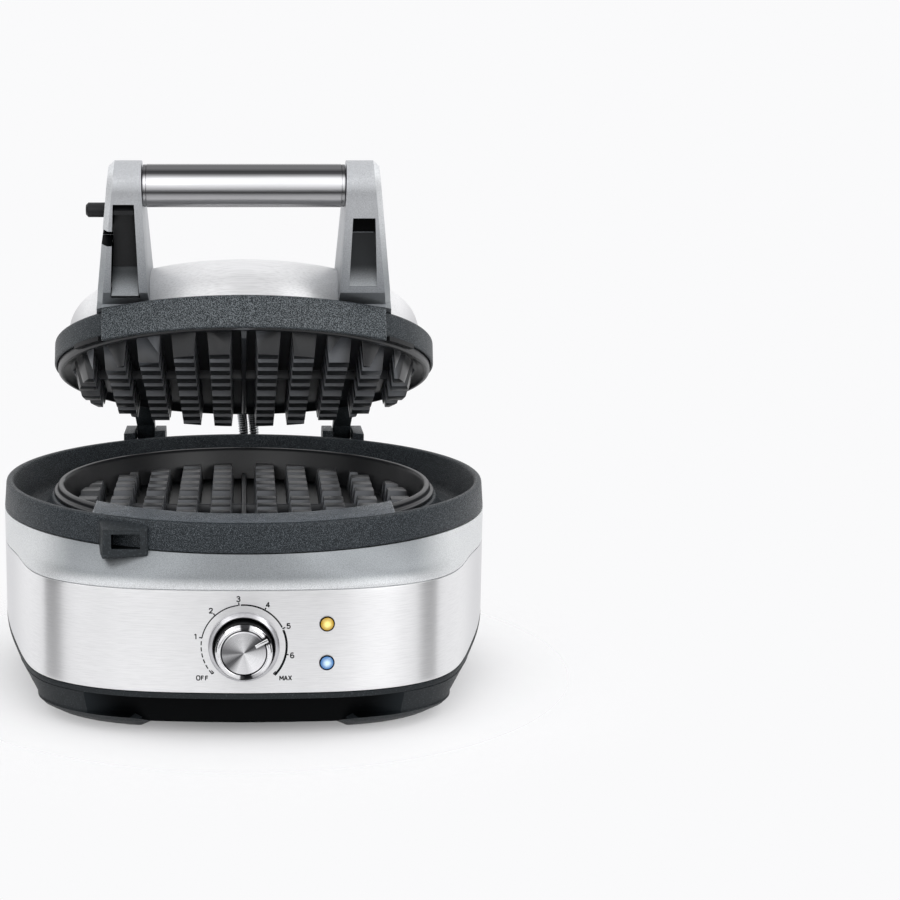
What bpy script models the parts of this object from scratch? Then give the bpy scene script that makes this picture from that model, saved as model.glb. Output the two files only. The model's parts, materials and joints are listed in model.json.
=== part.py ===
"""Round waffle maker with a hinged lid, modelled as separate pieces.

Metres, +Z up, +Y to the back. The origin is on the floor under the bowl's axis.
Lid pieces are drawn as if the lid were shut, and an empty on the hinge line lifts them.
"""
import math

import bmesh
import bpy
from mathutils import Matrix, Vector

# General clearances and mesh detail
fit = 0.0003
overrun = 0.004
merge = 0.00001
round_steps = 28
plan_steps = 32

# Base body, plan and heights
body_radius = 0.1335
tube_half_length = 0.0502
corner_bulge = 0.0135
corner_angle = math.radians(40.5)
corner_front_spread = math.radians(40.5)
corner_side_spread = math.radians(30.0)
corner_power = 2.4
front_bow = 0.0015
foot_height = 0.0045
pad_height = 0.0012
pad_radius = 0.0085
band_bottom = 0.024
band_height = 0.0525
band_top = band_bottom + band_height
band_wall = 0.0008
hand_hold_rise = 0.016
hand_hold_depth = 0.007
hand_hold_start = math.radians(60.0)
shoulder_height = 0.0185
collar_top = band_top + shoulder_height
collar_wall = 0.002
tray_wall = 0.0024
tray_lip = 0.003
tray_recess = 0.006
tray_recess_angle = math.radians(27.0)
tray_taper = 0.016
tray_flange = 0.006
tray_panel_low = 0.0085
tray_panel_step = 0.0008
foot_half_angle = math.radians(11.0)
foot_blend_angle = math.radians(8.0)
foot_depth = 0.0295
foot_inner_radius = body_radius - foot_depth
floor_vent_radius = 0.030
pad_inset = 0.0155
pad_place = body_radius - pad_inset
screw_inset = 0.0355
screw_place_x = body_radius - screw_inset
screw_place_y = 0.030
collar_flange = 0.005
collar_ledge = 0.0012
edge_break = 0.0010
bisections = 40
shoulder_level_shares = (0.0, 0.22, 0.45, 0.70, 1.0)
shoulder_bulge_shares = (1.0, 0.93, 0.74, 0.42, 0.0)

# Bowl ring with its overflow moat
ring_height = 0.015
ring_top = collar_top + ring_height
ring_draft = 0.0011
ring_top_radius = body_radius - ring_draft
ring_rim_width = 0.004
ring_wall = 0.0025
moat_rim_width = 0.0104
moat_outer_radius = ring_top_radius - moat_rim_width
moat_width = 0.012
moat_inner_radius = moat_outer_radius - moat_width
moat_depth = 0.018
moat_floor = ring_top - moat_depth
bowl_lip_width = 0.0052
bowl_bore = moat_inner_radius - bowl_lip_width
bowl_lip_drop = 0.0095
bowl_lip_top = ring_top - bowl_lip_drop
ledge_side_margin = 0.0268
ledge_half_width = tube_half_length + ledge_side_margin

# Latch receiver on the ring's front left
latch_offset = 0.0086
latch_x = -(tube_half_length + latch_offset)
receiver_outer_offset = 0.020
receiver_left = tube_half_length + receiver_outer_offset
receiver_inner_offset = 0.0027
receiver_right = tube_half_length - receiver_inner_offset
receiver_setback = 0.0085
receiver_front = body_radius - receiver_setback
receiver_drop = 0.0185
receiver_bottom = ring_top - receiver_drop
receiver_hole_width = 0.0145
receiver_hole_height = 0.0075
receiver_hole_depth = 0.0095
receiver_hole_drop = 0.0104
receiver_hole_z = ring_top - receiver_hole_drop
receiver_wall = 0.0022
receiver_cheek = 0.0040

# Waffle plates
plate_gap = 0.0008
plate_radius = bowl_bore - plate_gap
plate_brim = 0.0075
grid_radius = plate_radius - plate_brim
plate_skin = 0.003
lower_base_drop = 0.0225
lower_base = ring_top - lower_base_drop
lower_tooth_height = 0.011
lower_rim_drop = 0.0035
lower_rim_top = ring_top - lower_rim_drop
upper_base_rise = 0.0057
upper_base = ring_top + upper_base_rise
upper_tooth_height = 0.013
upper_rim_rise = 0.0025
upper_rim_bottom = ring_top + upper_rim_rise
plate_rim_width = 0.0035
tooth_pitch = 0.0186
tooth_root = 0.0132
tooth_tip = 0.0105
first_tooth = 0.0126
teeth_per_side = 5
divider_height = 0.005
divider_root = 0.0036
divider_tip = 0.0024
tooth_sink = 0.001
tooth_edge_slope = 0.30
plate_flange = 0.0022
flange_overlap = 0.0014
lower_flange_radius = bowl_bore + flange_overlap

# Heating elements and reflectors
element_inset = 0.042
element_radius = plate_radius - element_inset
element_rod = 0.0065
element_gap_angle = math.radians(24.0)
element_leg = 0.008
reflector_wall = 0.0008
reflector_floor_inset = 0.022
reflector_floor_radius = plate_radius - reflector_floor_inset
reflector_depth = 0.016
reflector_inset = 0.0065
reflector_radius = plate_radius - reflector_inset
reflector_flange = 0.0035
reflector_vent_radius = 0.018
element_steps = 18

# Lid shell
lid_rim_gap = 0.002
lid_rim_radius = plate_radius + lid_rim_gap
lid_seam = 0.0065
lid_rim_bottom = ring_top + lid_seam
lid_rim_height = 0.0135
lid_rim_top = lid_rim_bottom + lid_rim_height
lid_rim_wall = 0.0016
chin_depth = 0.010
chin_radius = lid_rim_radius + chin_depth
chin_side_margin = 0.0234
chin_half_width = tube_half_length + chin_side_margin
chin_seam = 0.001
chin_bottom = ring_top + chin_seam
chin_drop = 0.002
chin_top = lid_rim_top - chin_drop
chin_wall = 0.0035
dome_inset = 0.0075
dome_radius = lid_rim_radius - dome_inset
dome_height = 0.0345
dome_top = lid_rim_top + dome_height
dome_wall = 0.001
clip_span = math.radians(12.0)
clip_angle = math.radians(51.0)
clip_width = 0.0030
clip_height = 0.0024
clip_steps = 6
lid_rim_lip = 0.002
lid_rim_web = 0.003
dome_rings = 7
dome_squareness = 3.0

# Hinge
hinge_reach = 0.014
overall_reach = body_radius + hinge_reach
barrel_radius = 0.0055
pivot_drop = 0.002
pivot_height = ring_top - pivot_drop
hinge_outer_offset = 0.0116
hinge_offset = tube_half_length + hinge_outer_offset
hinge_arm_width = 0.011
hinge_pin_radius = 0.0025
bracket_width = 0.025
bracket_seam = 0.0025
bracket_bottom = band_top + bracket_seam
bracket_proud = 0.0025
bracket_top = ring_top + bracket_proud
lid_open_angle = math.radians(21.1)
hinge_side_gap = 0.0006
bracket_depth = 0.0255
bracket_front = body_radius - bracket_depth
ear_start = math.radians(-60.0)
ear_end = math.radians(90.0)
arm_barrel_start = math.radians(-115.0)
arm_barrel_end = math.radians(75.0)
barrel_steps = 10
arm_rear_inset = 0.009
arm_rear_top = body_radius - arm_rear_inset
arm_rear_rise = 0.012
arm_rear_top_z = ring_top + arm_rear_rise
arm_over_rim_inset = 0.0075
arm_over_rim = lid_rim_radius - arm_over_rim_inset
arm_over_rim_rise = 0.0035
arm_over_rim_z = lid_rim_top + arm_over_rim_rise
arm_hidden_inset = 0.030
arm_hidden_y = lid_rim_radius - arm_hidden_inset
arm_hidden_rise = 0.0055
arm_hidden_z = ring_top + arm_hidden_rise
arm_over_ring_inset = 0.0148
arm_over_ring_y = body_radius - arm_over_ring_inset
arm_over_ring_rise = 0.002
arm_over_ring_z = ring_top + arm_over_ring_rise
arm_past_ring_inset = 0.004
arm_past_ring_y = body_radius - arm_past_ring_inset
arm_past_ring_rise = 0.001
arm_past_ring_z = ring_top + arm_past_ring_rise

# Handle
tube_overhang = 0.0005
tube_y = -(body_radius + tube_overhang)
tube_rise = 0.069
tube_z = ring_top + tube_rise
tube_radius = 0.01075
tube_wall = 0.0012
tie_rod_radius = 0.003
tie_rod_depth = 0.007
collar_width = 0.0016
arm_head_radius = 0.0125
arm_foot_inset = 0.002
arm_foot_y = arm_foot_inset - lid_rim_radius
arm_foot_rise = 0.002
arm_foot_z = lid_rim_top + arm_foot_rise
arm_toe_inset = 0.018
arm_toe_y = arm_toe_inset - lid_rim_radius
arm_heel_inset = 0.056
arm_heel_y = arm_heel_inset - lid_rim_radius
arm_heel_rise = 0.0275
arm_heel_z = lid_rim_top + arm_heel_rise
arm_head_gap = 0.0004
arm_inner_head = tube_half_length + arm_head_gap
arm_foot_overlap = 0.0010
arm_inner_foot = tube_half_length - arm_foot_overlap
arm_head_width = 0.0183
arm_outer_head = tube_half_length + arm_head_width
arm_foot_width = 0.0246
arm_outer_foot = tube_half_length + arm_foot_width
arm_edge = 0.0028
arm_toe_rise = 0.0004
arm_toe_z = lid_rim_top + arm_toe_rise
arm_toe_length = 0.006
arm_head_steps = 18
collar_spigot = 0.003

# Windows in the handle arms, measured along the arm's front face from its foot
window_head_wall = 0.0044
window_inner_head = tube_half_length + window_head_wall
window_head_reach = 0.0146
window_outer_head = tube_half_length + window_head_reach
window_foot_wall = 0.0034
window_inner_foot = tube_half_length + window_foot_wall
window_foot_reach = 0.0178
window_outer_foot = tube_half_length + window_foot_reach
left_window_top = 0.0500
right_window_top = 0.0425
right_window_depth = 0.012
right_ridge = 0.0310
right_ridge_depth = 0.0075
left_window_depth = 0.0165
window_foot_along = 0.0035
window_foot_depth = 0.0005
channel_gap = 0.0008

# Latch lever and its lock knob
latch_pivot_along = 0.0012
latch_pivot_depth = 0.0062
latch_pin_radius = 0.0015
latch_barrel_radius = 0.0035
latch_front_depth = 0.0070
latch_thickness = 0.0016
latch_step_along = 0.0115
latch_reach = 0.0450
latch_hook_thickness = 0.0030
latch_hook_taper_share = 0.8
latch_clearance = 0.0008
latch_sweep = 0.0072
scoop_lip_depth = 0.0008
hook_engage = 0.0022
hook_drop = 0.0008
knob_pin_radius = 0.0037
knob_pin_along = 0.0407
knob_pin_depth = 0.0127
knob_pin_outer_offset = 0.0293
knob_pin_reach = tube_half_length + knob_pin_outer_offset
knob_travel = 0.0098
knob_block_length = 0.0110
knob_block_thickness = 0.0050
notch_bottom_along = 0.0267
notch_top_along = 0.0350

# Dial
dial_rise = 0.0241
dial_height = band_bottom + dial_rise
dial_radius = 0.0144
dial_disc_radius = 0.0111
dial_disc_thickness = 0.0014
dial_back_gap = 0.0010
dial_bevel = 0.0016
dial_skirt_wall = 0.0015
bezel_radius = 0.0178
bezel_bore = 0.0152
bezel_proud = 0.0028
dial_rest_angle = math.radians(29.9)
pointer_width = 0.0018
pointer_proud = 0.0005
pointer_inner_radius = 0.0066
shaft_radius = 0.003
shaft_hole_radius = 0.005
thermostat_radius = 0.013
thermostat_depth = 0.016
thermostat_plate = 0.0012

# Lamps
lamp_x = 0.0414
lamp_upper_rise = 0.0353
lamp_upper_z = band_bottom + lamp_upper_rise
lamp_lower_rise = 0.0153
lamp_lower_z = band_bottom + lamp_lower_rise
lamp_radius = 0.0036
lamp_proud = 0.0012
lamp_stem_radius = 0.0026
lamp_board_back = 0.010
lamp_board_width = 0.014
lamp_board_margin = 0.009
lamp_board_thickness = 0.0016

# Conduits between base and lid
conduit_spacing = 0.0066
conduit_radius = 0.0030
conduit_wire = 0.0007
conduit_turns = 14
conduit_points_per_turn = 8
conduit_core_radius = 0.0013
conduit_base_x = 0.0034
conduit_lid_x = 0.0012
conduit_base_reach = 0.006
conduit_base_y = body_radius + conduit_base_reach
conduit_base_drop = 0.0095
conduit_base_z = ring_top - conduit_base_drop
gland_half_width = 0.011
gland_seam = 0.0065
gland_bottom = band_top + gland_seam
boot_rise = 0.0135
boot_closed_z = ring_top + boot_rise
boot_length = 0.006
boot_half_height = 0.0048
boot_half_width = 0.0075
gland_reach = 0.012
gland_back = body_radius + gland_reach
gland_inset = 0.0135
gland_front = body_radius - gland_inset
gland_slope = 0.007
conduit_end_depth = 0.003
conduit_bend = 0.014
conduit_path_steps = 12

# Inlet, terminals and screws
cord_gland_radius = 0.0085
cord_gland_rise = 0.023
cord_gland_z = band_bottom + cord_gland_rise
cord_gland_x = 0.0
cord_gland_proud = 0.009
cord_bore = 0.0035
cord_gland_wall = 0.0028
terminal_length = 0.034
terminal_width = 0.016
terminal_height = 0.014
terminal_ways = 3
terminal_inset = 0.0635
terminal_y = body_radius - terminal_inset
screw_head_radius = 0.004
screw_head_height = 0.0024
screw_shank_radius = 0.0016
screw_length = 0.010

# Values worked out from the driving sizes
pivot_y = overall_reach - barrel_radius
pivot = Vector((0.0, pivot_y, pivot_height))
ledge_bore = lower_flange_radius + fit
tube_centre = Vector((0.0, tube_y, tube_z))
arm_foot = Vector((0.0, arm_foot_y, arm_foot_z))


def clear_scene():
    """Remove every object, so that the script can be run again."""
    for obj in list(bpy.data.objects):
        bpy.data.objects.remove(obj, do_unlink=True)


def make_collection(name):
    collection = bpy.data.collections.new(name)
    bpy.context.scene.collection.children.link(collection)
    return collection


def make_material(name, colour, roughness, metallic):
    material = bpy.data.materials.new(name)
    material.use_nodes = True
    shader = material.node_tree.nodes["Principled BSDF"]
    shader.inputs["Base Color"].default_value = (*colour, 1.0)
    shader.inputs["Roughness"].default_value = roughness
    shader.inputs["Metallic"].default_value = metallic
    return material


clear_scene()
parts = make_collection("round_waffle_maker")
cutters = make_collection("cutters")

FINISHES = {
    "charcoal": ((0.060, 0.072, 0.082), 0.55, 0.0),
    "dark_recess": ((0.012, 0.013, 0.014), 0.5, 0.0),
    "brushed_steel": ((0.72, 0.72, 0.73), 0.32, 1.0),
    "silver_paint": ((0.40, 0.41, 0.42), 0.42, 0.35),
    "die_cast": ((0.36, 0.38, 0.40), 0.42, 0.6),
    "chrome": ((0.80, 0.80, 0.81), 0.10, 1.0),
    "non_stick": ((0.022, 0.024, 0.027), 0.38, 0.0),
    "black_plastic": ((0.018, 0.019, 0.021), 0.45, 0.0),
    "amber": ((0.80, 0.55, 0.06), 0.15, 0.0),
    "blue": ((0.16, 0.42, 0.78), 0.15, 0.0),
    "zinc": ((0.50, 0.51, 0.52), 0.40, 0.9),
    "rubber": ((0.030, 0.030, 0.032), 0.85, 0.0),
    "board": ((0.05, 0.20, 0.09), 0.5, 0.0),
    "ceramic": ((0.70, 0.67, 0.60), 0.6, 0.0),
    "sleeving": ((0.55, 0.53, 0.48), 0.8, 0.0),
}


def add_part(name, mesh, finish):
    """Put a mesh in the parts collection, with a material of its own."""
    obj = bpy.data.objects.new(name, mesh)
    parts.objects.link(obj)
    mesh.materials.append(make_material(name, *FINISHES[finish]))
    return obj


def add_cutter(name, mesh):
    """Put a mesh among the cutters, which aren't part of the object."""
    obj = bpy.data.objects.new(name, mesh)
    cutters.objects.link(obj)
    obj.hide_render = True
    obj.display_type = "WIRE"
    return obj


def boolean(obj, tool, operation="DIFFERENCE"):
    modifier = obj.modifiers.new(tool.name, "BOOLEAN")
    modifier.operation = operation
    modifier.solver = "EXACT"
    modifier.object = tool
    return modifier


def bevel(obj, width, segments=1, angle=35.0):
    modifier = obj.modifiers.new("soft_edges", "BEVEL")
    modifier.width = width
    modifier.segments = segments
    modifier.limit_method = "ANGLE"
    modifier.angle_limit = math.radians(angle)
    modifier.use_clamp_overlap = True
    return modifier


def smooth(mesh, angle=35.0):
    mesh.shade_smooth()
    mesh.set_sharp_from_angle(angle=math.radians(angle))


def mesh_from(bm, name):
    """Turn a bmesh into a mesh with its faces pointing out."""
    bmesh.ops.recalc_face_normals(bm, faces=bm.faces)
    mesh = bpy.data.meshes.new(name)
    bm.to_mesh(mesh)
    bm.free()
    smooth(mesh)
    return mesh


def turned_mesh(name, profile, closed=False):
    """Edges of a profile of (radius, height) points, running down its outer side."""
    area = 0.0
    for (r_a, z_a), (r_b, z_b) in zip(profile, profile[1:] + profile[:1]):
        area += r_a * z_b - r_b * z_a
    if area > 0.0:
        profile = profile[::-1]
    edges = [(i, i + 1) for i in range(len(profile) - 1)]
    if closed:
        edges.append((len(profile) - 1, 0))
    mesh = bpy.data.meshes.new(name)
    mesh.from_pydata([(r, 0.0, z) for r, z in profile], edges, [])
    return mesh


def turn(obj, steps=round_steps):
    """Sweep the profile round the object's Z axis."""
    screw = obj.modifiers.new("turn", "SCREW")
    screw.axis = "Z"
    screw.steps = steps
    screw.render_steps = steps
    screw.use_merge_vertices = True
    screw.merge_threshold = merge
    screw.use_smooth_shade = True
    return screw


def turned_part(name, profile, finish, closed=False, steps=round_steps):
    obj = add_part(name, turned_mesh(name, profile, closed), finish)
    turn(obj, steps)
    return obj


def turned_cutter(name, profile, closed=False, steps=round_steps):
    obj = add_cutter(name, turned_mesh(name, profile, closed))
    turn(obj, steps)
    return obj


def lay_along_y(obj, place):
    """Point a turned piece's axis to the front, with its origin at the given place."""
    obj.location = place
    obj.rotation_euler = (math.radians(90.0), 0.0, 0.0)


def lay_along_x(obj, place):
    """Point a turned piece's axis to the right, with its origin at the given place."""
    obj.location = place
    obj.rotation_euler = (0.0, math.radians(90.0), 0.0)


def box_mesh(name, low, high):
    low = Vector(low)
    high = Vector(high)
    size = high - low
    scale = Matrix.Diagonal((size.x, size.y, size.z, 1.0))
    bm = bmesh.new()
    bmesh.ops.create_cube(bm, size=1.0, matrix=Matrix.Translation((low + high) / 2) @ scale)
    return mesh_from(bm, name)


def hull_mesh(name, points):
    """The convex solid round a few points."""
    bm = bmesh.new()
    for point in points:
        bm.verts.new(point)
    bmesh.ops.convex_hull(bm, input=bm.verts)
    bmesh.ops.dissolve_limit(bm, angle_limit=math.radians(1.0), verts=bm.verts, edges=bm.edges)
    return mesh_from(bm, name)


def prism_mesh(name, outline, low, high):
    """A (y, z) outline made into a solid between two planes across X."""
    bm = bmesh.new()
    face = bm.faces.new([bm.verts.new((low, y, z)) for y, z in outline])
    grown = bmesh.ops.extrude_face_region(bm, geom=[face])["geom"]
    moved = [item for item in grown if isinstance(item, bmesh.types.BMVert)]
    bmesh.ops.translate(bm, verts=moved, vec=(high - low, 0.0, 0.0))
    return mesh_from(bm, name)


def ring_mesh(name, rings, wrap=True):
    """Join rings of points with quads; wrap closes the last ring on the first, or caps fill the ends."""
    bm = bmesh.new()
    loops = [[bm.verts.new(point) for point in ring] for ring in rings]
    pairs = list(zip(loops, loops[1:]))
    if wrap:
        pairs.append((loops[-1], loops[0]))
    else:
        bm.faces.new(loops[0])
        bm.faces.new(loops[-1])
    for near, far in pairs:
        for i in range(len(near)):
            j = (i + 1) % len(near)
            bm.faces.new((near[i], near[j], far[j], far[i]))
    return mesh_from(bm, name)


def ease(value):
    """Go from 0 to 1 with a level start and end."""
    value = min(1.0, max(0.0, value))
    return value * value * (3.0 - 2.0 * value)


def front_angle(angle):
    """The angle from the front or back line, from zero to a right angle."""
    return math.atan2(abs(math.cos(angle)), abs(math.sin(angle)))


def plan_radius(angle, share=1.0):
    """The body's plan: round, with four soft corners that swell by a share of their full bulge."""
    away = front_angle(angle) - corner_angle
    spread = corner_front_spread if away < 0.0 else corner_side_spread
    swell = math.cos(math.pi / 2 * min(1.0, abs(away) / spread)) ** corner_power
    bow = front_bow * math.sin(angle) ** 2
    return body_radius + share * (corner_bulge * swell + bow)


def plan_ring(radius_at, height_at):
    """One ring of points, from a radius and a height that may follow the angle."""
    points = []
    for step in range(plan_steps):
        angle = 2.0 * math.pi * step / plan_steps
        r = radius_at(angle)
        points.append((r * math.cos(angle), r * math.sin(angle), height_at(angle)))
    return points


def hand_hold(angle):
    """From 0 at the corners to 1 at the middle of each side."""
    return ease((front_angle(angle) - hand_hold_start) / (math.pi / 2 - hand_hold_start))


def band_edge(angle):
    """Height of the band's lower edge, which arches up at each side."""
    return band_bottom + hand_hold_rise * hand_hold(angle)


def flat_height(value):
    return lambda angle: value


def foot_share(angle):
    """1 over each foot, 0 between the feet."""
    away = abs(front_angle(angle) - corner_angle)
    return 1.0 - ease((away - foot_half_angle) / foot_blend_angle)


def recess_at(angle):
    """Depth of the tray's wall behind the band: the end panels, and the hand-holds at the sides."""
    panel = 1.0 - ease((front_angle(angle) - tray_recess_angle) / foot_blend_angle)
    return tray_recess * panel + hand_hold_depth * hand_hold(angle)


def make_base_tray():
    """Moulded tray: a flange inside the band, a lip under it, drawn-in walls and four feet."""
    def wall(inset, recessed=1.0):
        return lambda a: plan_radius(a) - inset - recessed * recess_at(a)

    def below_edge(drop):
        return lambda a: band_edge(a) - fit - drop

    def panel_low(a):
        return tray_panel_low * foot_share(a) + foot_height * (1.0 - foot_share(a))

    def underside(a):
        return pad_height * foot_share(a) + foot_height * (1.0 - foot_share(a))

    flange = band_wall + fit
    floor_top = foot_height + tray_wall
    corner_draw = tray_taper / 5
    rings = [
        plan_ring(wall(flange, 0.0), lambda a: band_edge(a) + tray_flange),
        plan_ring(wall(flange, 0.0), below_edge(0.0)),
        plan_ring(wall(0.0, 0.0), below_edge(0.0)),
        plan_ring(wall(0.0, 0.0), below_edge(tray_lip)),
        plan_ring(wall(0.0), below_edge(tray_lip)),
        plan_ring(lambda a: plan_radius(a) - recess_at(a) - corner_draw * foot_share(a),
                  lambda a: panel_low(a) + tray_panel_step),
        plan_ring(lambda a: plan_radius(a) - recess_at(a) * (1 - foot_share(a)) - corner_draw, panel_low),
        plan_ring(lambda a: plan_radius(a) - recess_at(a) * (1 - foot_share(a)) - 2.5 * corner_draw,
                  lambda a: (panel_low(a) + underside(a)) / 2),
        plan_ring(lambda a: plan_radius(a) - recess_at(a) * (1 - foot_share(a)) - tray_taper, underside),
        plan_ring(flat_height(foot_inner_radius), underside),
        plan_ring(flat_height(foot_inner_radius - tray_taper / 2), flat_height(foot_height)),
        plan_ring(flat_height(floor_vent_radius), flat_height(foot_height)),
        plan_ring(flat_height(floor_vent_radius), flat_height(floor_top)),
        plan_ring(wall(tray_taper + tray_wall + foot_height), flat_height(floor_top)),
        plan_ring(wall(2 * tray_wall + corner_draw), flat_height(tray_panel_low + tray_wall)),
        plan_ring(wall(flange + tray_wall), lambda a: band_edge(a) - tray_lip),
        plan_ring(wall(flange + tray_wall, 0.0), lambda a: band_edge(a) + tray_flange),
    ]
    obj = add_part("base_tray", ring_mesh("base_tray", rings), "charcoal")
    for index, place in enumerate(screw_places()):
        hole_mesh = disc_mesh("hole", screw_shank_radius + fit, overrun)
        hole = add_cutter(f"tray_screw_hole_{index + 1}", hole_mesh)
        hole.location = (place.x, place.y, foot_height + tray_wall / 2)
        boolean(obj, hole)
    return obj


def disc_mesh(name, radius, half_height, sides=20, top_radius=None):
    """A short cylinder, or a cone when its top differs, centred on its origin."""
    bm = bmesh.new()
    top = radius if top_radius is None else top_radius
    depth = 2 * half_height
    bmesh.ops.create_cone(bm, cap_ends=True, segments=sides, radius1=radius, radius2=top, depth=depth)
    return mesh_from(bm, name)


def screw_places():
    """Four screws, two on each side between the feet and the hand-holds."""
    return [Vector((sx * screw_place_x, sy * screw_place_y, 0.0)) for sx in (-1, 1) for sy in (-1, 1)]


def make_base_screws():
    """Pan-head screws that hold the tray up against the reflector's legs."""
    for index, place in enumerate(screw_places()):
        under = foot_height - fit - screw_head_height
        head_top = foot_height - fit
        tip = foot_height + screw_length
        profile = [
            (0.0, tip),
            (screw_shank_radius, tip),
            (screw_shank_radius, head_top),
            (screw_head_radius, head_top),
            (screw_head_radius, under + screw_head_height / 3),
            (screw_head_radius - screw_head_height / 3, under),
            (0.0, under),
        ]
        screw = turned_part(f"base_screw_{index + 1}", profile, "zinc", steps=10)
        screw.location = (place.x, place.y, 0.0)


def make_foot_pads():
    """Rubber pads let into the four feet."""
    names = ("front_left", "front_right", "back_left", "back_right")
    signs = ((-1, -1), (1, -1), (-1, 1), (1, 1))
    for name, (sx, sy) in zip(names, signs):
        profile = [
            (0.0, pad_height - fit),
            (pad_radius, pad_height - fit),
            (pad_radius, pad_height / 3),
            (pad_radius - pad_height / 3, 0.0),
            (0.0, 0.0),
        ]
        pad = turned_part(f"foot_pad_{name}", profile, "rubber", steps=14)
        pad.location = (sx * pad_place * math.sin(corner_angle), sy * pad_place * math.cos(corner_angle), 0.0)


def make_body_band():
    """Thin steel wrap with holes for the dial shaft and both lamps."""
    def outer(a):
        return plan_radius(a)

    def inner(a):
        return plan_radius(a) - band_wall

    rings = [
        plan_ring(outer, flat_height(band_top)),
        plan_ring(outer, band_edge),
        plan_ring(inner, band_edge),
        plan_ring(inner, flat_height(band_top)),
    ]
    obj = add_part("body_band", ring_mesh("body_band", rings), "brushed_steel")
    holes = [("dial", 0.0, dial_height, shaft_hole_radius)]
    holes.append(("upper_lamp", lamp_x, lamp_upper_z, lamp_stem_radius + fit))
    holes.append(("lower_lamp", lamp_x, lamp_lower_z, lamp_stem_radius + fit))
    for name, x, z, radius in holes:
        hole = add_cutter(f"{name}_hole", disc_mesh(name, radius, body_radius / 4, sides=24))
        lay_along_y(hole, (x, -body_radius, z))
        boolean(obj, hole)
    inlet = add_cutter("inlet_hole", disc_mesh("inlet", cord_gland_radius - cord_gland_wall, body_radius / 4))
    lay_along_y(inlet, (cord_gland_x, body_radius, cord_gland_z))
    boolean(obj, inlet)
    return obj


def make_shoulder_collar():
    """Painted shoulder that carries the squarish band plan up to the round bowl ring."""
    rise = collar_top - fit - (band_top + fit)
    rings = []
    flange = band_wall + fit
    for level, share in zip(shoulder_level_shares, shoulder_bulge_shares):
        height = band_top + fit + rise * level
        rings.append(plan_ring(lambda a, s=share: plan_radius(a, s), flat_height(height)))
    rings.reverse()
    rings.append(plan_ring(lambda a: plan_radius(a) - flange, flat_height(band_top + fit)))
    rings.append(plan_ring(lambda a: plan_radius(a) - flange, flat_height(band_top - collar_flange)))
    foot = flat_height(band_top - collar_flange)
    rings.append(plan_ring(lambda a: plan_radius(a) - flange - collar_wall, foot))
    for level, share in zip(shoulder_level_shares, shoulder_bulge_shares):
        height = band_top + (rise - collar_wall) * level
        if level == shoulder_level_shares[-1]:
            height = collar_top - fit
        rings.append(plan_ring(
            lambda a, s=share: plan_radius(a, s) - collar_wall - collar_ledge * s, flat_height(height)))
    obj = add_part("shoulder_collar", ring_mesh("shoulder_collar", rings), "silver_paint")
    boolean(obj, make_receiver("receiver_notch", fit))
    return obj


def make_bowl_ring():
    """Cast ring: outer wall, overflow moat and the bore that the lower plate drops into."""
    rim_inner = ring_top_radius - ring_rim_width
    under = moat_floor - ring_wall
    skirt = body_radius - ring_wall - collar_wall
    edge = ring_rim_width / 4
    profile = [
        (rim_inner + edge, ring_top),
        (ring_top_radius - edge, ring_top),
        (ring_top_radius, ring_top - edge),
        (body_radius, collar_top),
        (skirt, collar_top),
        (rim_inner, ring_top - ring_rim_width),
        (moat_outer_radius + ring_wall, moat_floor + ring_wall),
        (moat_outer_radius, under),
        (bowl_bore, under),
        (bowl_bore, bowl_lip_top),
        (bowl_bore + ring_wall, bowl_lip_top),
        (moat_inner_radius, moat_floor + ring_wall),
        (moat_inner_radius + ring_wall, moat_floor),
        (moat_outer_radius - ring_wall, moat_floor),
        (moat_outer_radius, moat_floor + ring_wall),
        (rim_inner, ring_top - edge),
    ]
    obj = turned_part("bowl_ring", profile, "charcoal", closed=True, steps=plan_steps)
    boolean(obj, make_ledge(rim_inner), "UNION")
    boolean(obj, make_receiver("latch_receiver"), "UNION")
    hole_bottom = receiver_hole_z - receiver_hole_height / 2
    low = (latch_x - receiver_hole_width / 2, -receiver_front - overrun, hole_bottom)
    high = (latch_x + receiver_hole_width / 2, -receiver_front + receiver_hole_depth,
            receiver_hole_z + receiver_hole_height / 2)
    hole = add_cutter("receiver_hole", box_mesh("receiver_hole", low, high))
    bevel(hole, receiver_hole_height / 5)
    boolean(obj, hole)
    return obj


def make_ledge(rim_inner):
    """Flat front sector of the ring, level with its top, that the lid's chin shuts onto."""
    floor = moat_floor - ring_wall / 2
    outer = rim_inner + ring_rim_width / 2
    top = ring_top - fit / 3
    profile = [(ledge_bore, top), (outer, top), (outer, ring_top - ring_rim_width),
               (moat_outer_radius + ring_wall / 2, floor), (ledge_bore, floor)]
    ledge = turned_cutter("front_ledge", profile, closed=True, steps=plan_steps)
    low = (-ledge_half_width, -body_radius, 0.0)
    high = (ledge_half_width, -ledge_bore / 2, body_radius)
    sector = add_cutter("ledge_sector", box_mesh("ledge_sector", low, high))
    boolean(ledge, sector, "INTERSECT")
    return ledge


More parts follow.
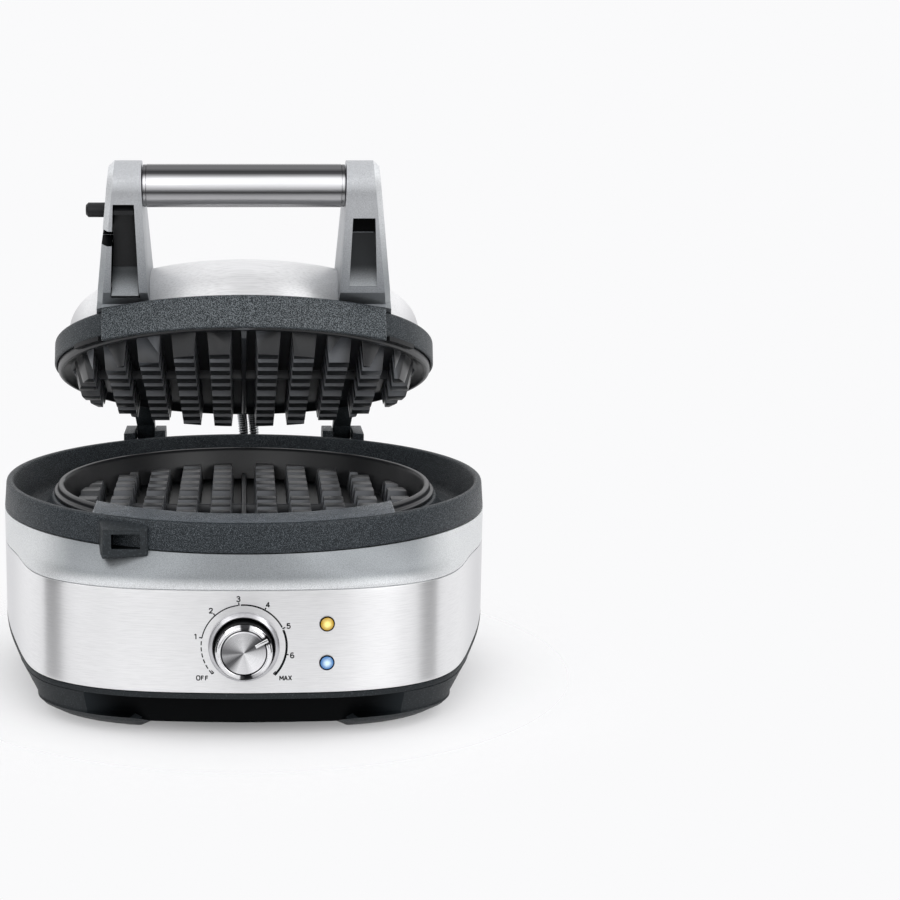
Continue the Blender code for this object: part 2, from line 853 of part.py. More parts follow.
def make_receiver(name, grow=0.0):
    """Housing for the latch hook, with a flat face and a slanted cheek on its outer side."""
    left = -receiver_left - grow
    right = -receiver_right + grow
    front = -receiver_front - grow
    bottom = receiver_bottom - grow
    top = ring_top - 2 * edge_break + grow
    brow = receiver_hole_z + receiver_hole_height / 2 + receiver_wall + grow
    behind = -(moat_outer_radius + ring_wall - grow) * math.cos(math.asin(receiver_left / ring_top_radius))
    roof_left = -math.sqrt((ring_top_radius - edge_break) ** 2 - receiver_left ** 2) - grow
    roof_right = -math.sqrt((ring_top_radius - edge_break) ** 2 - receiver_right ** 2) - grow
    cheek = left - receiver_cheek
    points = [
        (left, front, bottom),
        (right, front, bottom),
        (left, front, brow),
        (right, front, brow),
        (left, roof_left, top),
        (right, roof_right, top),
        (cheek, behind, top),
        (cheek, behind, bottom),
        (right + receiver_cheek, behind, top),
        (right + receiver_cheek, behind, bottom),
    ]
    return add_cutter(name, hull_mesh(name, points))


def surface_angle(x):
    """Angle from the front line at which the body's outer wall reaches a given X."""
    low = 0.0
    high = math.pi / 2
    for _ in range(bisections):
        middle = (low + high) / 2
        if plan_radius(math.pi / 2 + middle) * math.sin(middle) < abs(x):
            low = middle
        else:
            high = middle
    return low


def surface_y(x):
    """Distance of the body's outer wall from the middle plane, at a given X."""
    angle = surface_angle(x)
    return plan_radius(math.pi / 2 + angle) * math.cos(angle)


def front_place(x, z):
    """Matrix on the front wall: local Z points out of the wall, local Y up."""
    run = edge_break
    slope = (surface_y(x + run) - surface_y(x - run)) / (2 * run)
    turn_out = Matrix.Rotation(-math.atan(slope), 4, "Z")
    return Matrix.Translation((x, -surface_y(x), z)) @ turn_out @ Matrix.Rotation(math.pi / 2, 4, "X")


def make_plate(name, base, up, rim_edge, tooth_height, flange_radius):
    """Cast waffle plate: a skin with a rim, square teeth clipped to the grid's circle, and dividers."""
    back = base - up * plate_skin
    rim_out = plate_radius - edge_break
    flange = rim_edge - up * plate_rim_width
    profile = [
        (0.0, base),
        (grid_radius, base),
        (plate_radius - plate_rim_width, rim_edge - up * edge_break),
        (plate_radius - plate_rim_width + edge_break, rim_edge),
        (rim_out, rim_edge),
        (plate_radius, rim_edge - up * edge_break),
        (plate_radius, flange),
        (flange_radius, flange),
        (flange_radius, flange - up * plate_flange),
        (plate_radius, flange - up * plate_flange),
        (grid_radius + plate_skin, back),
        (0.0, back),
    ]
    if flange_radius <= plate_radius:
        del profile[7:9]
    obj = turned_part(name, profile, "non_stick", steps=plan_steps)
    teeth = make_teeth(name, base, up, tooth_height)
    boolean(obj, teeth, "UNION")
    for suffix, quarter in (("lengthways", 0.0), ("crossways", math.pi / 2)):
        boolean(obj, make_divider(f"{name}_divider_{suffix}", base, up, quarter), "UNION")
    return obj


def make_teeth(name, base, up, height):
    """Square pyramids in rows and columns, mirrored to four quarters and clipped to the round grid."""
    bm = bmesh.new()
    flare = (tooth_root - tooth_tip) / height
    foot = (tooth_root + flare * tooth_sink) * math.sqrt(0.5)
    tip = tooth_tip * math.sqrt(0.5)
    turned = Matrix.Rotation(math.pi / 4, 4, "Z")
    bmesh.ops.create_cone(bm, cap_ends=True, segments=4, radius1=foot, radius2=tip,
                          depth=height + tooth_sink, matrix=turned)
    middle = base + up * (height - tooth_sink) / 2
    if up < 0:
        bmesh.ops.rotate(bm, verts=bm.verts, matrix=Matrix.Rotation(math.pi, 3, "X"))
    bmesh.ops.translate(bm, verts=bm.verts, vec=(first_tooth, first_tooth, middle))
    teeth = add_cutter(f"{name}_teeth", mesh_from(bm, "tooth"))
    for axis in (0, 1):
        array = teeth.modifiers.new("rows", "ARRAY")
        array.count = teeth_per_side
        array.use_relative_offset = False
        array.use_constant_offset = True
        array.constant_offset_displace = [tooth_pitch if i == axis else 0.0 for i in range(3)]
    mirror = teeth.modifiers.new("quarters", "MIRROR")
    mirror.use_axis = (True, True, False)
    mirror.merge_threshold = merge
    draw = height * tooth_edge_slope
    sunk = base - up * 2 * tooth_sink
    over = base + up * (height + tooth_sink)
    limit_profile = [(0.0, sunk), (grid_radius - edge_break, sunk), (grid_radius - edge_break, base),
                     (grid_radius - edge_break - draw, over), (0.0, over)]
    limit = turned_cutter(f"{name}_grid_limit", limit_profile, steps=20)
    boolean(teeth, limit, "INTERSECT")
    return teeth


def make_divider(name, base, up, quarter):
    """Low rib across the whole grid, narrower at its tip."""
    half = grid_radius + edge_break
    sunk = base - up * tooth_sink
    tip = base + up * divider_height
    points = []
    for x in (-half, half):
        for y in (-divider_root / 2, divider_root / 2):
            points.append((x, y, sunk))
        for y in (-divider_tip / 2, divider_tip / 2):
            points.append((x - math.copysign(divider_root, x), y, tip))
    rib = add_cutter(name, hull_mesh(name, points))
    rib.rotation_euler.z = math.pi / 2 - quarter
    return rib


def rod_part(name, points, radius, finish, resolution=1):
    """Round rod or wire along a list of points, with closed ends."""
    curve = bpy.data.curves.new(name, "CURVE")
    curve.dimensions = "3D"
    spline = curve.splines.new("POLY")
    spline.points.add(len(points) - 1)
    for target, place in zip(spline.points, points):
        target.co = (*place, 1.0)
    curve.bevel_depth = radius
    curve.bevel_resolution = resolution
    curve.render_resolution_u = 0
    curve.use_fill_caps = True
    return add_part(name, curve, finish)


def make_element(name, plate_back, away):
    """Sheathed element: an open ring of rod against the plate's back, with two turned-down legs."""
    level = plate_back + away * (element_rod / 2 + fit)
    span = 2 * math.pi - element_gap_angle
    points = []
    for step in range(element_steps + 1):
        angle = math.pi / 2 + element_gap_angle / 2 + span * step / element_steps
        points.append((element_radius * math.cos(angle), element_radius * math.sin(angle), level))
    for index in (0, -1):
        x, y, z = points[index]
        leg = (x, y + element_rod / 2, z + away * element_leg)
        bend = (x, y + element_rod / 4, z + away * element_rod / 2)
        points = [leg, bend] + points if index == 0 else points + [bend, leg]
    return rod_part(name, points, element_rod / 2, "zinc")


def make_reflector(name, plate_back, away):
    """Pressed dish behind the element, its rim against the plate's back."""
    rim = plate_back + away * fit
    floor = plate_back + away * reflector_depth
    wall = reflector_wall
    profile = [
        (reflector_radius + reflector_flange, rim),
        (reflector_radius + reflector_flange, rim + away * wall),
        (reflector_radius, rim + away * wall),
        (reflector_floor_radius, floor),
        (reflector_vent_radius, floor),
        (reflector_vent_radius, floor - away * wall),
        (reflector_floor_radius - wall, floor - away * wall),
        (reflector_radius - wall, rim),
    ]
    return turned_part(name, profile, "zinc", closed=True)


def make_thermostat():
    """Round thermostat body behind the band, bored for the dial's shaft."""
    front = -band_wall - 2 * fit
    back = front - thermostat_depth
    bore = front - thermostat_depth / 2
    profile = [
        (shaft_radius + fit, front),
        (thermostat_radius, front),
        (thermostat_radius, front - thermostat_plate),
        (thermostat_radius - thermostat_plate, front - thermostat_plate),
        (thermostat_radius - thermostat_plate, back),
        (0.0, back),
        (0.0, bore),
        (shaft_radius + fit, bore),
    ]
    profile = profile[6:] + profile[:6]
    obj = turned_part("thermostat", profile, "ceramic", steps=18)
    lay_along_y(obj, (0.0, -surface_y(0.0), dial_height))
    return obj


def dial_levels():
    """Heights out of the band's face for the dial's face, disc seat and back edge."""
    face = overall_reach - surface_y(0.0) - pointer_proud - fit
    seat = face - dial_disc_thickness - fit
    back = dial_back_gap
    return face, seat, back


def make_dial():
    """Knob with a hollow skirt, a spun disc let into its face, a pointer bar and the shaft."""
    face, seat, back = dial_levels()
    web = seat - dial_skirt_wall
    boss = shaft_radius + dial_skirt_wall
    disc_bore = dial_disc_radius + fit
    knob_profile = [
        (0.0, seat),
        (disc_bore, seat),
        (disc_bore, face),
        (dial_radius - dial_bevel, face),
        (dial_radius, face - dial_bevel),
        (dial_radius, back),
        (dial_radius - dial_skirt_wall, back),
        (dial_radius - dial_skirt_wall, web),
        (boss, web),
        (boss, back + dial_skirt_wall),
        (shaft_radius + fit, back + dial_skirt_wall),
        (shaft_radius + fit, web),
        (0.0, web),
    ]
    knob = turned_part("dial_knob", knob_profile, "chrome", steps=28)
    disc_profile = [
        (0.0, face),
        (dial_disc_radius - edge_break / 2, face),
        (dial_disc_radius, face - edge_break / 2),
        (dial_disc_radius, seat + fit),
        (0.0, seat + fit),
    ]
    disc = turned_part("dial_disc", disc_profile, "brushed_steel", steps=28)
    shaft_back = -band_wall - 2 * fit - thermostat_depth / 2 + fit
    shaft_front = web - fit
    shaft_profile = [(0.0, shaft_front), (shaft_radius, shaft_front)]
    shaft_profile += [(shaft_radius, shaft_back), (0.0, shaft_back)]
    shaft = turned_part("dial_shaft", shaft_profile, "zinc", steps=12)
    flat_low = (shaft_radius * 0.6, -shaft_radius * 2, web - fit - dial_skirt_wall * 3)
    flat_high = (shaft_radius * 2, shaft_radius * 2, web + overrun)
    flat = add_cutter("shaft_flat", box_mesh("shaft_flat", flat_low, flat_high))
    boolean(shaft, flat)
    low = (pointer_inner_radius, -pointer_width / 2, face + fit)
    high = (dial_radius - dial_bevel / 2, pointer_width / 2, face + fit + pointer_proud)
    pointer = add_part("dial_pointer", box_mesh("dial_pointer", low, high), "silver_paint")
    bevel(pointer, pointer_proud / 3)
    axis = bpy.data.objects.new("dial_axis", None)
    parts.objects.link(axis)
    axis.location = (0.0, -surface_y(0.0), dial_height)
    axis.rotation_euler = (math.pi / 2, 0.0, 0.0)
    for piece in (knob, disc, shaft, pointer, flat):
        piece.parent = axis
    pointer.rotation_euler = (0.0, 0.0, dial_rest_angle)
    return axis


def make_bezel():
    """Rounded trim ring round the dial, standing on the band."""
    step = bezel_proud / 3
    profile = [
        (bezel_bore, bezel_proud - step / 2),
        (bezel_bore + step / 2, bezel_proud),
        (bezel_radius - 2 * step, bezel_proud),
        (bezel_radius - step / 2, bezel_proud - step),
        (bezel_radius, bezel_proud - 2 * step),
        (bezel_radius, fit),
        (bezel_bore, fit),
    ]
    bezel = turned_part("dial_bezel", profile, "brushed_steel", closed=True, steps=28)
    lay_along_y(bezel, (0.0, -surface_y(0.0), dial_height))
    return bezel


def make_lamps():
    """Two lenses whose stems reach back through the band to the lamp board."""
    for name, finish, height in (("amber_lens", "amber", lamp_upper_z), ("blue_lens", "blue", lamp_lower_z)):
        profile = [
            (0.0, lamp_proud),
            (lamp_radius / 2, lamp_proud - lamp_proud / 8),
            (lamp_radius - lamp_proud / 3, lamp_proud / 2),
            (lamp_radius, fit + lamp_proud / 6),
            (lamp_radius, fit),
            (lamp_stem_radius, fit),
            (lamp_stem_radius, -lamp_board_back + fit),
            (0.0, -lamp_board_back + fit),
        ]
        lens = turned_part(name, profile, finish, steps=16)
        lens.matrix_world = front_place(lamp_x, height)
    span = lamp_upper_z - lamp_lower_z
    low = (-lamp_board_width / 2, -span / 2 - lamp_board_margin, -lamp_board_back - lamp_board_thickness)
    high = (lamp_board_width / 2, span / 2 + lamp_board_margin, -lamp_board_back)
    board = add_part("lamp_board", box_mesh("lamp_board", low, high), "board")
    board.matrix_world = front_place(lamp_x, (lamp_upper_z + lamp_lower_z) / 2)


def make_cord_gland():
    """Strain-relief bush for the mains lead, in the back of the band."""
    outer = cord_gland_proud
    neck = cord_gland_radius - cord_gland_wall - fit
    inside = -band_wall - cord_gland_wall
    profile = [
        (cord_bore, outer),
        (cord_gland_radius - cord_gland_wall, outer),
        (cord_gland_radius, cord_gland_wall),
        (cord_gland_radius, fit),
        (neck, fit),
        (neck, inside),
        (cord_bore, inside),
    ]
    gland = turned_part("cord_gland", profile, "rubber", closed=True, steps=16)
    gland.location = (cord_gland_x, surface_y(cord_gland_x), cord_gland_z)
    gland.rotation_euler = (-math.pi / 2, 0.0, 0.0)
    return gland


def make_terminal_block():
    """Ceramic block on the tray's floor, with a row of wire entries."""
    floor = foot_height + tray_wall + fit
    low = (-terminal_length / 2, terminal_y - terminal_width / 2, floor)
    high = (terminal_length / 2, terminal_y + terminal_width / 2, floor + terminal_height)
    block = add_part("terminal_block", box_mesh("terminal_block", low, high), "ceramic")
    pitch = terminal_length / terminal_ways
    for way in range(terminal_ways):
        entry_mesh = disc_mesh("entry", pitch / 3, terminal_height / 2, sides=12)
        entry = add_cutter(f"terminal_entry_{way + 1}", entry_mesh)
        entry.location = ((way - (terminal_ways - 1) / 2) * pitch, terminal_y, floor + terminal_height)
        boolean(block, entry)
    return block


def dome_curve(radius, height, base):
    """Rounded drum profile from the crown down to the foot."""
    points = []
    for step in range(dome_rings + 1):
        angle = math.pi / 2 * step / dome_rings
        r = radius * math.sin(angle) ** (2 / dome_squareness)
        z = base + height * math.cos(angle) ** (2 / dome_squareness)
        points.append((r, z))
    points[0] = (0.0, base + height)
    points[-1] = (radius, base)
    return points


def make_lid_dome():
    """Drawn steel cover, seated on the lid rim."""
    base = lid_rim_top + fit
    height = dome_top - base
    outer = dome_curve(dome_radius, height, base)
    inner = dome_curve(dome_radius - dome_wall, height - dome_wall, base)
    return turned_part("lid_dome", outer + inner[::-1], "brushed_steel", steps=plan_steps)


def make_lid_rim():
    """Cast ring that carries the dome and the upper plate, with its deeper chin at the front."""
    inner = dome_radius - dome_wall - 2 * fit
    bore = lid_rim_radius - lid_rim_wall
    profile = [
        (inner - lid_rim_wall, lid_rim_top + lid_rim_lip),
        (inner, lid_rim_top + lid_rim_lip),
        (inner, lid_rim_top),
        (lid_rim_radius - edge_break, lid_rim_top),
        (lid_rim_radius, lid_rim_top - edge_break),
        (lid_rim_radius, lid_rim_bottom + edge_break / 2),
        (lid_rim_radius - edge_break / 2, lid_rim_bottom),
        (bore, lid_rim_bottom),
        (bore, lid_rim_top - lid_rim_web),
        (inner - lid_rim_wall, lid_rim_top - lid_rim_web),
    ]
    obj = turned_part("lid_rim", profile, "charcoal", closed=True, steps=plan_steps)
    root = lid_rim_radius - lid_rim_wall / 2
    chin_profile = [
        (root, lid_rim_top - edge_break),
        (chin_radius - edge_break, chin_top),
        (chin_radius, chin_top - edge_break),
        (chin_radius, chin_bottom + edge_break / 2),
        (chin_radius - edge_break / 2, chin_bottom),
        (chin_radius - chin_wall, chin_bottom),
        (chin_radius - chin_wall, chin_top - chin_wall),
        (root, lid_rim_top - edge_break - chin_wall),
    ]
    chin = turned_cutter("lid_chin", chin_profile, closed=True, steps=plan_steps)
    low = (-chin_half_width, -chin_radius - overrun, 0.0)
    high = (chin_half_width, -lid_rim_radius / 2, dome_top)
    sector = add_cutter("chin_sector", box_mesh("chin_sector", low, high))
    boolean(chin, sector, "INTERSECT")
    boolean(obj, chin, "UNION")
    return obj


def make_plate_clips():
    """Spring clips under the rim, one on each side, that hold the upper plate up."""
    pieces = []
    for name, sign in (("plate_clip_left", -1), ("plate_clip_right", 1)):
        rings = []
        for step in range(clip_steps + 1):
            angle = clip_angle + clip_span * (step / clip_steps - 0.5)
            section = []
            for r, z in ((0.0, 0.0), (clip_width, 0.0), (clip_width, -clip_height), (0.0, -clip_height)):
                radius = plate_radius + 3 * fit + r
                height = lid_rim_bottom - fit + z
                section.append((sign * radius * math.sin(angle), -radius * math.cos(angle), height))
            rings.append(section)
        pieces.append(add_part(name, ring_mesh(name, rings, wrap=False), "charcoal"))
    return pieces


def lid_envelope(name, with_chin):
    """Space that the rim and dome take, a clearance larger, for shaping what seats on them."""
    base = lid_rim_top + fit
    if with_chin:
        top = dome_curve(dome_radius + fit, dome_top - base + fit, base)
        edge = [(lid_rim_radius + fit, base), (chin_radius + fit, chin_top + fit), (chin_radius + fit, 0.0)]
    else:
        top = [(0.0, dome_top + overrun), (dome_radius + fit, dome_top + overrun), (dome_radius + fit, base)]
        edge = [(lid_rim_radius + fit, base), (lid_rim_radius + fit, 0.0)]
    return turned_cutter(name, top + edge + [(0.0, 0.0)], steps=plan_steps)


def base_envelope():
    """Space that the shoulder and ring take, a clearance larger, for shaping the hinge brackets."""
    rise = collar_top - band_top
    rings = [plan_ring(lambda a: plan_radius(a) + fit, flat_height(0.0))]
    for level, share in zip(shoulder_level_shares, shoulder_bulge_shares):
        height = flat_height(band_top + 2 * fit + rise * level)
        rings.append(plan_ring(lambda a, s=share: plan_radius(a, s) + 2 * fit, height))
    rings.append(plan_ring(flat_height(ring_top_radius + fit), flat_height(ring_top + 2 * overrun)))
    shoulder = add_cutter("base_envelope", ring_mesh("base_envelope", rings, wrap=False))
    profile = [
        (0.0, ring_top + 2 * overrun),
        (ring_top_radius + fit, ring_top + 2 * overrun),
        (ring_top_radius + fit, ring_top),
        (body_radius + fit, collar_top),
        (0.0, collar_top),
    ]
    ring = turned_cutter("ring_envelope", profile, steps=plan_steps)
    return shoulder, ring


def clear_of(obj, spaces):
    """Cut an object back to what lies outside each space."""
    for space in spaces:
        boolean(obj, space)


def circle_points(centre_y, centre_z, radius, start, end, steps):
    points = []
    for step in range(steps + 1):
        angle = start + (end - start) * step / steps
        points.append((centre_y + radius * math.cos(angle), centre_z + radius * math.sin(angle)))
    return points


def hinge_bore(side, middle):
    """Hole on the hinge line, a clearance larger than the pin."""
    bore_mesh = disc_mesh("bore", hinge_pin_radius + fit, bracket_width, sides=20)
    bore = add_cutter(f"hinge_bore_{side}", bore_mesh)
    lay_along_x(bore, (middle, pivot_y, pivot_height))
    return bore


def make_hinge_brackets(base_space):
    """Forked brackets on the shoulder, and the pins through their ears."""
    for side, sign in (("left", -1), ("right", 1)):
        middle = sign * hinge_offset
        outline = circle_points(pivot_y, pivot_height, barrel_radius, ear_start, ear_end, barrel_steps)
        outline += [(bracket_front, bracket_top + edge_break), (bracket_front, bracket_bottom)]
        outline += [(body_radius, bracket_bottom)]
        mesh = prism_mesh("bracket", outline, middle - bracket_width / 2, middle + bracket_width / 2)
        bracket = add_part(f"hinge_bracket_{side}", mesh, "charcoal")
        clear_of(bracket, base_space)
        slot_half = hinge_arm_width / 2 + hinge_side_gap
        low = (middle - slot_half, 0.0, pivot_height - barrel_radius - hinge_side_gap)
        high = (middle + slot_half, overall_reach + overrun, bracket_top + 2 * overrun)
        boolean(bracket, add_cutter(f"hinge_slot_{side}", box_mesh("slot", low, high)))
        boolean(bracket, hinge_bore(side, middle))
        half = bracket_width / 2 - edge_break / 2
        profile = [(0.0, half), (hinge_pin_radius, half), (hinge_pin_radius, -half), (0.0, -half)]
        pin = turned_part(f"hinge_pin_{side}", profile, "zinc", steps=14)
        lay_along_x(pin, (middle, pivot_y, pivot_height))


def make_hinge_arms(lid_space):
    """Lid arms from the rim's back wall to the barrels between the ears."""
    for side, sign in (("left", -1), ("right", 1)):
        middle = sign * hinge_offset
        outline = circle_points(
            pivot_y, pivot_height, barrel_radius, arm_barrel_start, arm_barrel_end, barrel_steps)
        outline += [(arm_rear_top, arm_rear_top_z), (arm_over_rim, arm_over_rim_z)]
        outline += [(arm_hidden_y, arm_over_rim_z)]
        outline += [(arm_hidden_y, arm_hidden_z), (arm_over_ring_y, arm_over_ring_z)]
        outline += [(arm_past_ring_y, arm_past_ring_z)]
        mesh = prism_mesh("arm", outline, middle - hinge_arm_width / 2, middle + hinge_arm_width / 2)
        arm = add_part(f"hinge_arm_{side}", mesh, "black_plastic")
        boolean(arm, lid_space)
        boolean(arm, hinge_bore(f"arm_{side}", middle))


def arm_axes():
    """Directions along the arm's front face and out of it, and the length to the head's tangent point."""
    to_head = tube_centre - arm_foot
    reach = math.hypot(to_head.y, to_head.z)
    angle = math.atan2(to_head.z, to_head.y) + math.asin(arm_head_radius / reach)
    along = Vector((0.0, math.cos(angle), math.sin(angle)))
    out = Vector((0.0, -math.sin(angle), math.cos(angle)))
    return along, out, math.sqrt(reach ** 2 - arm_head_radius ** 2), angle


def arm_solid(name, outline, inner, outer, sign):
    """Solid between two sides that taper with the distance along the arm; outline is (along, depth)."""
    along, out, length, angle = arm_axes()
    rings = []
    for foot, head in (inner, outer):
        ring = []
        for u, w in outline:
            x = sign * (foot + (head - foot) * u / length)
            ring.append(arm_foot + along * u - out * w + Vector((x, 0.0, 0.0)))
        rings.append(ring)
    return ring_mesh(name, rings, wrap=False)


def to_arm(y, z):
    """(along, depth) of a point given by its Y and Z."""
    along, out, length, angle = arm_axes()
    offset = Vector((0.0, y, z)) - arm_foot
    return offset.dot(along), -offset.dot(out)


def arm_outline():
    """Side view of a handle arm: round head, straight front face, toe over the chin, heel on the dome."""
    along, out, length, angle = arm_axes()
    heel = Vector((0.0, arm_heel_y, arm_heel_z))
    to_head = tube_centre - heel
    reach = math.hypot(to_head.y, to_head.z)
    back_angle = math.atan2(to_head.z, to_head.y) - math.asin(arm_head_radius / reach)
    start = angle + math.pi / 2
    head = circle_points(tube_y, tube_z, arm_head_radius, start, back_angle - math.pi / 2, arm_head_steps)
    points = [(arm_foot_y, arm_foot_z)] + head
    points += [(arm_heel_y, arm_heel_z), (arm_heel_y, lid_rim_bottom)]
    points += [(arm_toe_y, lid_rim_bottom), (arm_toe_y, arm_toe_z)]
    return [to_arm(y, z) for y, z in points]


def window_spans(clearance=0.0):
    """Inner and outer sides of a window, drawn in by a clearance for what fits inside it."""
    inner = (window_inner_foot + clearance, window_inner_head + clearance)
    outer = (window_outer_foot - clearance, window_outer_head - clearance)
    return inner, outer


def make_handle_arms(lid_space):
    """Cast arms with a window in each front face; the left one also houses the latch."""
    along, out, length, angle = arm_axes()
    arms = []
    for side, sign in (("left", -1), ("right", 1)):
        inner = (arm_inner_foot, arm_inner_head)
        outer = (arm_outer_foot, arm_outer_head)
        mesh = arm_solid("arm", arm_outline(), inner, outer, sign)
        bm = bmesh.new()
        bm.from_mesh(mesh)
        bm.normal_update()
        outward = [f for f in bm.faces if f.normal.x * sign > 0.7]
        rim = {edge for face in outward for edge in face.edges}
        bmesh.ops.bevel(bm, geom=list(rim), offset=arm_edge, segments=1, affect="EDGES", clamp_overlap=True)
        arm = add_part(f"handle_arm_{side}", mesh_from(bm, f"handle_arm_{side}"), "die_cast")
        boolean(arm, lid_space)
        rod_end = arm_inner_head + tie_rod_depth
        socket_mesh = disc_mesh("socket", tie_rod_radius + fit, tie_rod_depth + fit, 20)
        socket = add_cutter(f"rod_socket_{side}", socket_mesh)
        lay_along_x(socket, (sign * (rod_end - tie_rod_depth), tube_y, tube_z))
        boolean(arm, socket)
        arms.append(arm)
    inner, outer = window_spans()
    right = [(right_window_top, -overrun), (right_window_top, right_window_depth),
             (right_ridge, right_ridge_depth),
             (window_foot_along, window_foot_depth), (window_foot_along, -overrun)]
    boolean(arms[1], add_cutter("right_window", arm_solid("right_window", right, inner, outer, 1)))
    low = knob_pin_along - knob_travel - knob_block_length / 2 - channel_gap
    shallow = latch_pivot_depth + latch_sweep
    left = [(left_window_top, -overrun), (left_window_top, left_window_depth), (low, left_window_depth),
            (low - knob_block_length / 2, shallow), (-arm_toe_length, shallow), (-arm_toe_length, -overrun)]
    boolean(arms[0], add_cutter("left_window", arm_solid("left_window", left, inner, outer, -1)))
    run = knob_pin_radius + channel_gap / 2
    slot_foot = knob_pin_along - knob_travel - run
    slot = [(slot_foot, knob_pin_depth - run), (knob_pin_along + run, knob_pin_depth - run),
            (knob_pin_along + run, knob_pin_depth + run), (slot_foot, knob_pin_depth + run)]
    mouth = [(notch_bottom_along, -overrun), (notch_top_along, -overrun),
             (notch_top_along, knob_pin_depth), (notch_bottom_along, knob_pin_depth)]
    wall = (window_inner_foot + overrun, window_inner_head + overrun)
    beyond = (arm_outer_foot + overrun, arm_outer_head + overrun)
    boolean(arms[0], add_cutter("knob_slot", arm_solid("knob_slot", slot, wall, beyond, -1)))
    boolean(arms[0], add_cutter("knob_notch", arm_solid("knob_notch", mouth, wall, beyond, -1)))
    return arms


def make_handle_tube():
    """Polished grip tube, a collar at each end and the tie rod through all three."""
    end = tube_half_length - collar_width - fit
    bore = tube_radius - tube_wall
    pieces = []
    tube_profile = [(bore, end), (tube_radius, end), (tube_radius, -end), (bore, -end)]
    pieces.append(turned_part("handle_tube", tube_profile, "chrome", closed=True, steps=20))
    for side, sign in (("left", -1), ("right", 1)):
        inner = tie_rod_radius + fit
        rim = tube_radius - edge_break / 2
        profile = [(inner, 0.0), (rim, 0.0), (rim, collar_width), (bore - fit, collar_width),
                   (bore - fit, collar_width + collar_spigot), (inner, collar_width + collar_spigot)]
        collar = turned_part(f"handle_collar_{side}", profile, "charcoal", closed=True, steps=20)
        lay_along_x(collar, (sign * tube_half_length, tube_y, tube_z))
        if sign > 0:
            collar.rotation_euler = (0.0, -math.pi / 2, 0.0)
        pieces.append(collar)
    rod_end = arm_inner_head + tie_rod_depth - fit
    rod = [(0.0, rod_end), (tie_rod_radius, rod_end), (tie_rod_radius, -rod_end), (0.0, -rod_end)]
    pieces.append(turned_part("handle_tie_rod", rod, "zinc", steps=14))
    for piece in (pieces[0], pieces[-1]):
        lay_along_x(piece, (0.0, tube_y, tube_z))
    return pieces


def arm_place(u, w, x=0.0):
    along, out, length, angle = arm_axes()
    return arm_foot + along * u - out * w + Vector((x, 0.0, 0.0))


def hook_geometry():
    """Turn that hangs the hook at the receiver, and where the nub's tip lies while parked."""
    along, out, length, angle = arm_axes()
    pivot_at = arm_place(latch_pivot_along, latch_pivot_depth)
    brow = receiver_hole_z + receiver_hole_height / 2 + receiver_wall
    rim_y = -math.sqrt(ring_top_radius ** 2 - window_inner_head ** 2)
    room = latch_pivot_depth - latch_front_depth + latch_clearance
    hang_angles = []
    for y, z in ((-receiver_front, brow), (rim_y, ring_top)):
        offset = Vector((y - pivot_at.y, z - pivot_at.z))
        bearing = math.atan2(offset.y, offset.x) % (2 * math.pi)
        hang_angles.append(bearing - math.asin(room / offset.length))
    swing = min(hang_angles) - angle
    target = Vector((0.0, -receiver_front + hook_engage, receiver_hole_z - hook_drop)) - pivot_at
    parked = Matrix.Rotation(-swing, 3, "X") @ target
    tip = (latch_pivot_along + parked.dot(along), latch_pivot_depth - parked.dot(out))
    return swing, tip


def make_latch():
    """Lever on a pin at the window's foot: a cast scoop with the black hook beyond it."""
    swing, tip = hook_geometry()
    inner, outer = window_spans(channel_gap / 2)
    back = latch_front_depth + latch_thickness
    barrel = latch_barrel_radius
    scoop_outline = [
        (latch_pivot_along - barrel, scoop_lip_depth),
        (latch_step_along - fit, latch_front_depth + edge_break),
        (latch_step_along - fit, back + edge_break),
        (latch_pivot_along + barrel / 2, latch_pivot_depth + barrel),
        (latch_pivot_along - barrel / 2, latch_pivot_depth + barrel),
        (latch_pivot_along - barrel, latch_pivot_depth + barrel / 3),
    ]
    scoop = add_part("latch_scoop", arm_solid("latch_scoop", scoop_outline, inner, outer, -1), "die_cast")
    root = latch_pivot_along + latch_reach
    half = latch_hook_thickness / 2
    taper = half * latch_hook_taper_share
    hook_outline = [
        (latch_step_along, latch_front_depth),
        (root - half, latch_front_depth),
        (tip[0] - taper, tip[1]),
        (tip[0] + taper, tip[1]),
        (root + half, latch_front_depth),
        (root + half + edge_break, latch_front_depth),
        (root + half + edge_break, back),
        (latch_step_along, back),
    ]
    hook = add_part("latch_hook", arm_solid("latch_hook", hook_outline, inner, outer, -1), "black_plastic")
    pin_inner = arm_inner_foot + edge_break * 2
    pin_outer = arm_outer_foot - arm_edge - edge_break
    centre = -(pin_inner + pin_outer) / 2
    half_pin = (pin_outer - pin_inner) / 2
    profile = [(0.0, half_pin), (latch_pin_radius, half_pin), (latch_pin_radius, -half_pin), (0.0, -half_pin)]
    pin = turned_part("latch_pivot_pin", profile, "zinc", steps=10)
    place = arm_place(latch_pivot_along, latch_pivot_depth, centre)
    lay_along_x(pin, place)
    bore = add_cutter("latch_bore", disc_mesh("latch_bore", latch_pin_radius + fit, half_pin + fit, sides=16))
    lay_along_x(bore, place)
    boolean(scoop, bore)
    return scoop, hook, pin, bore


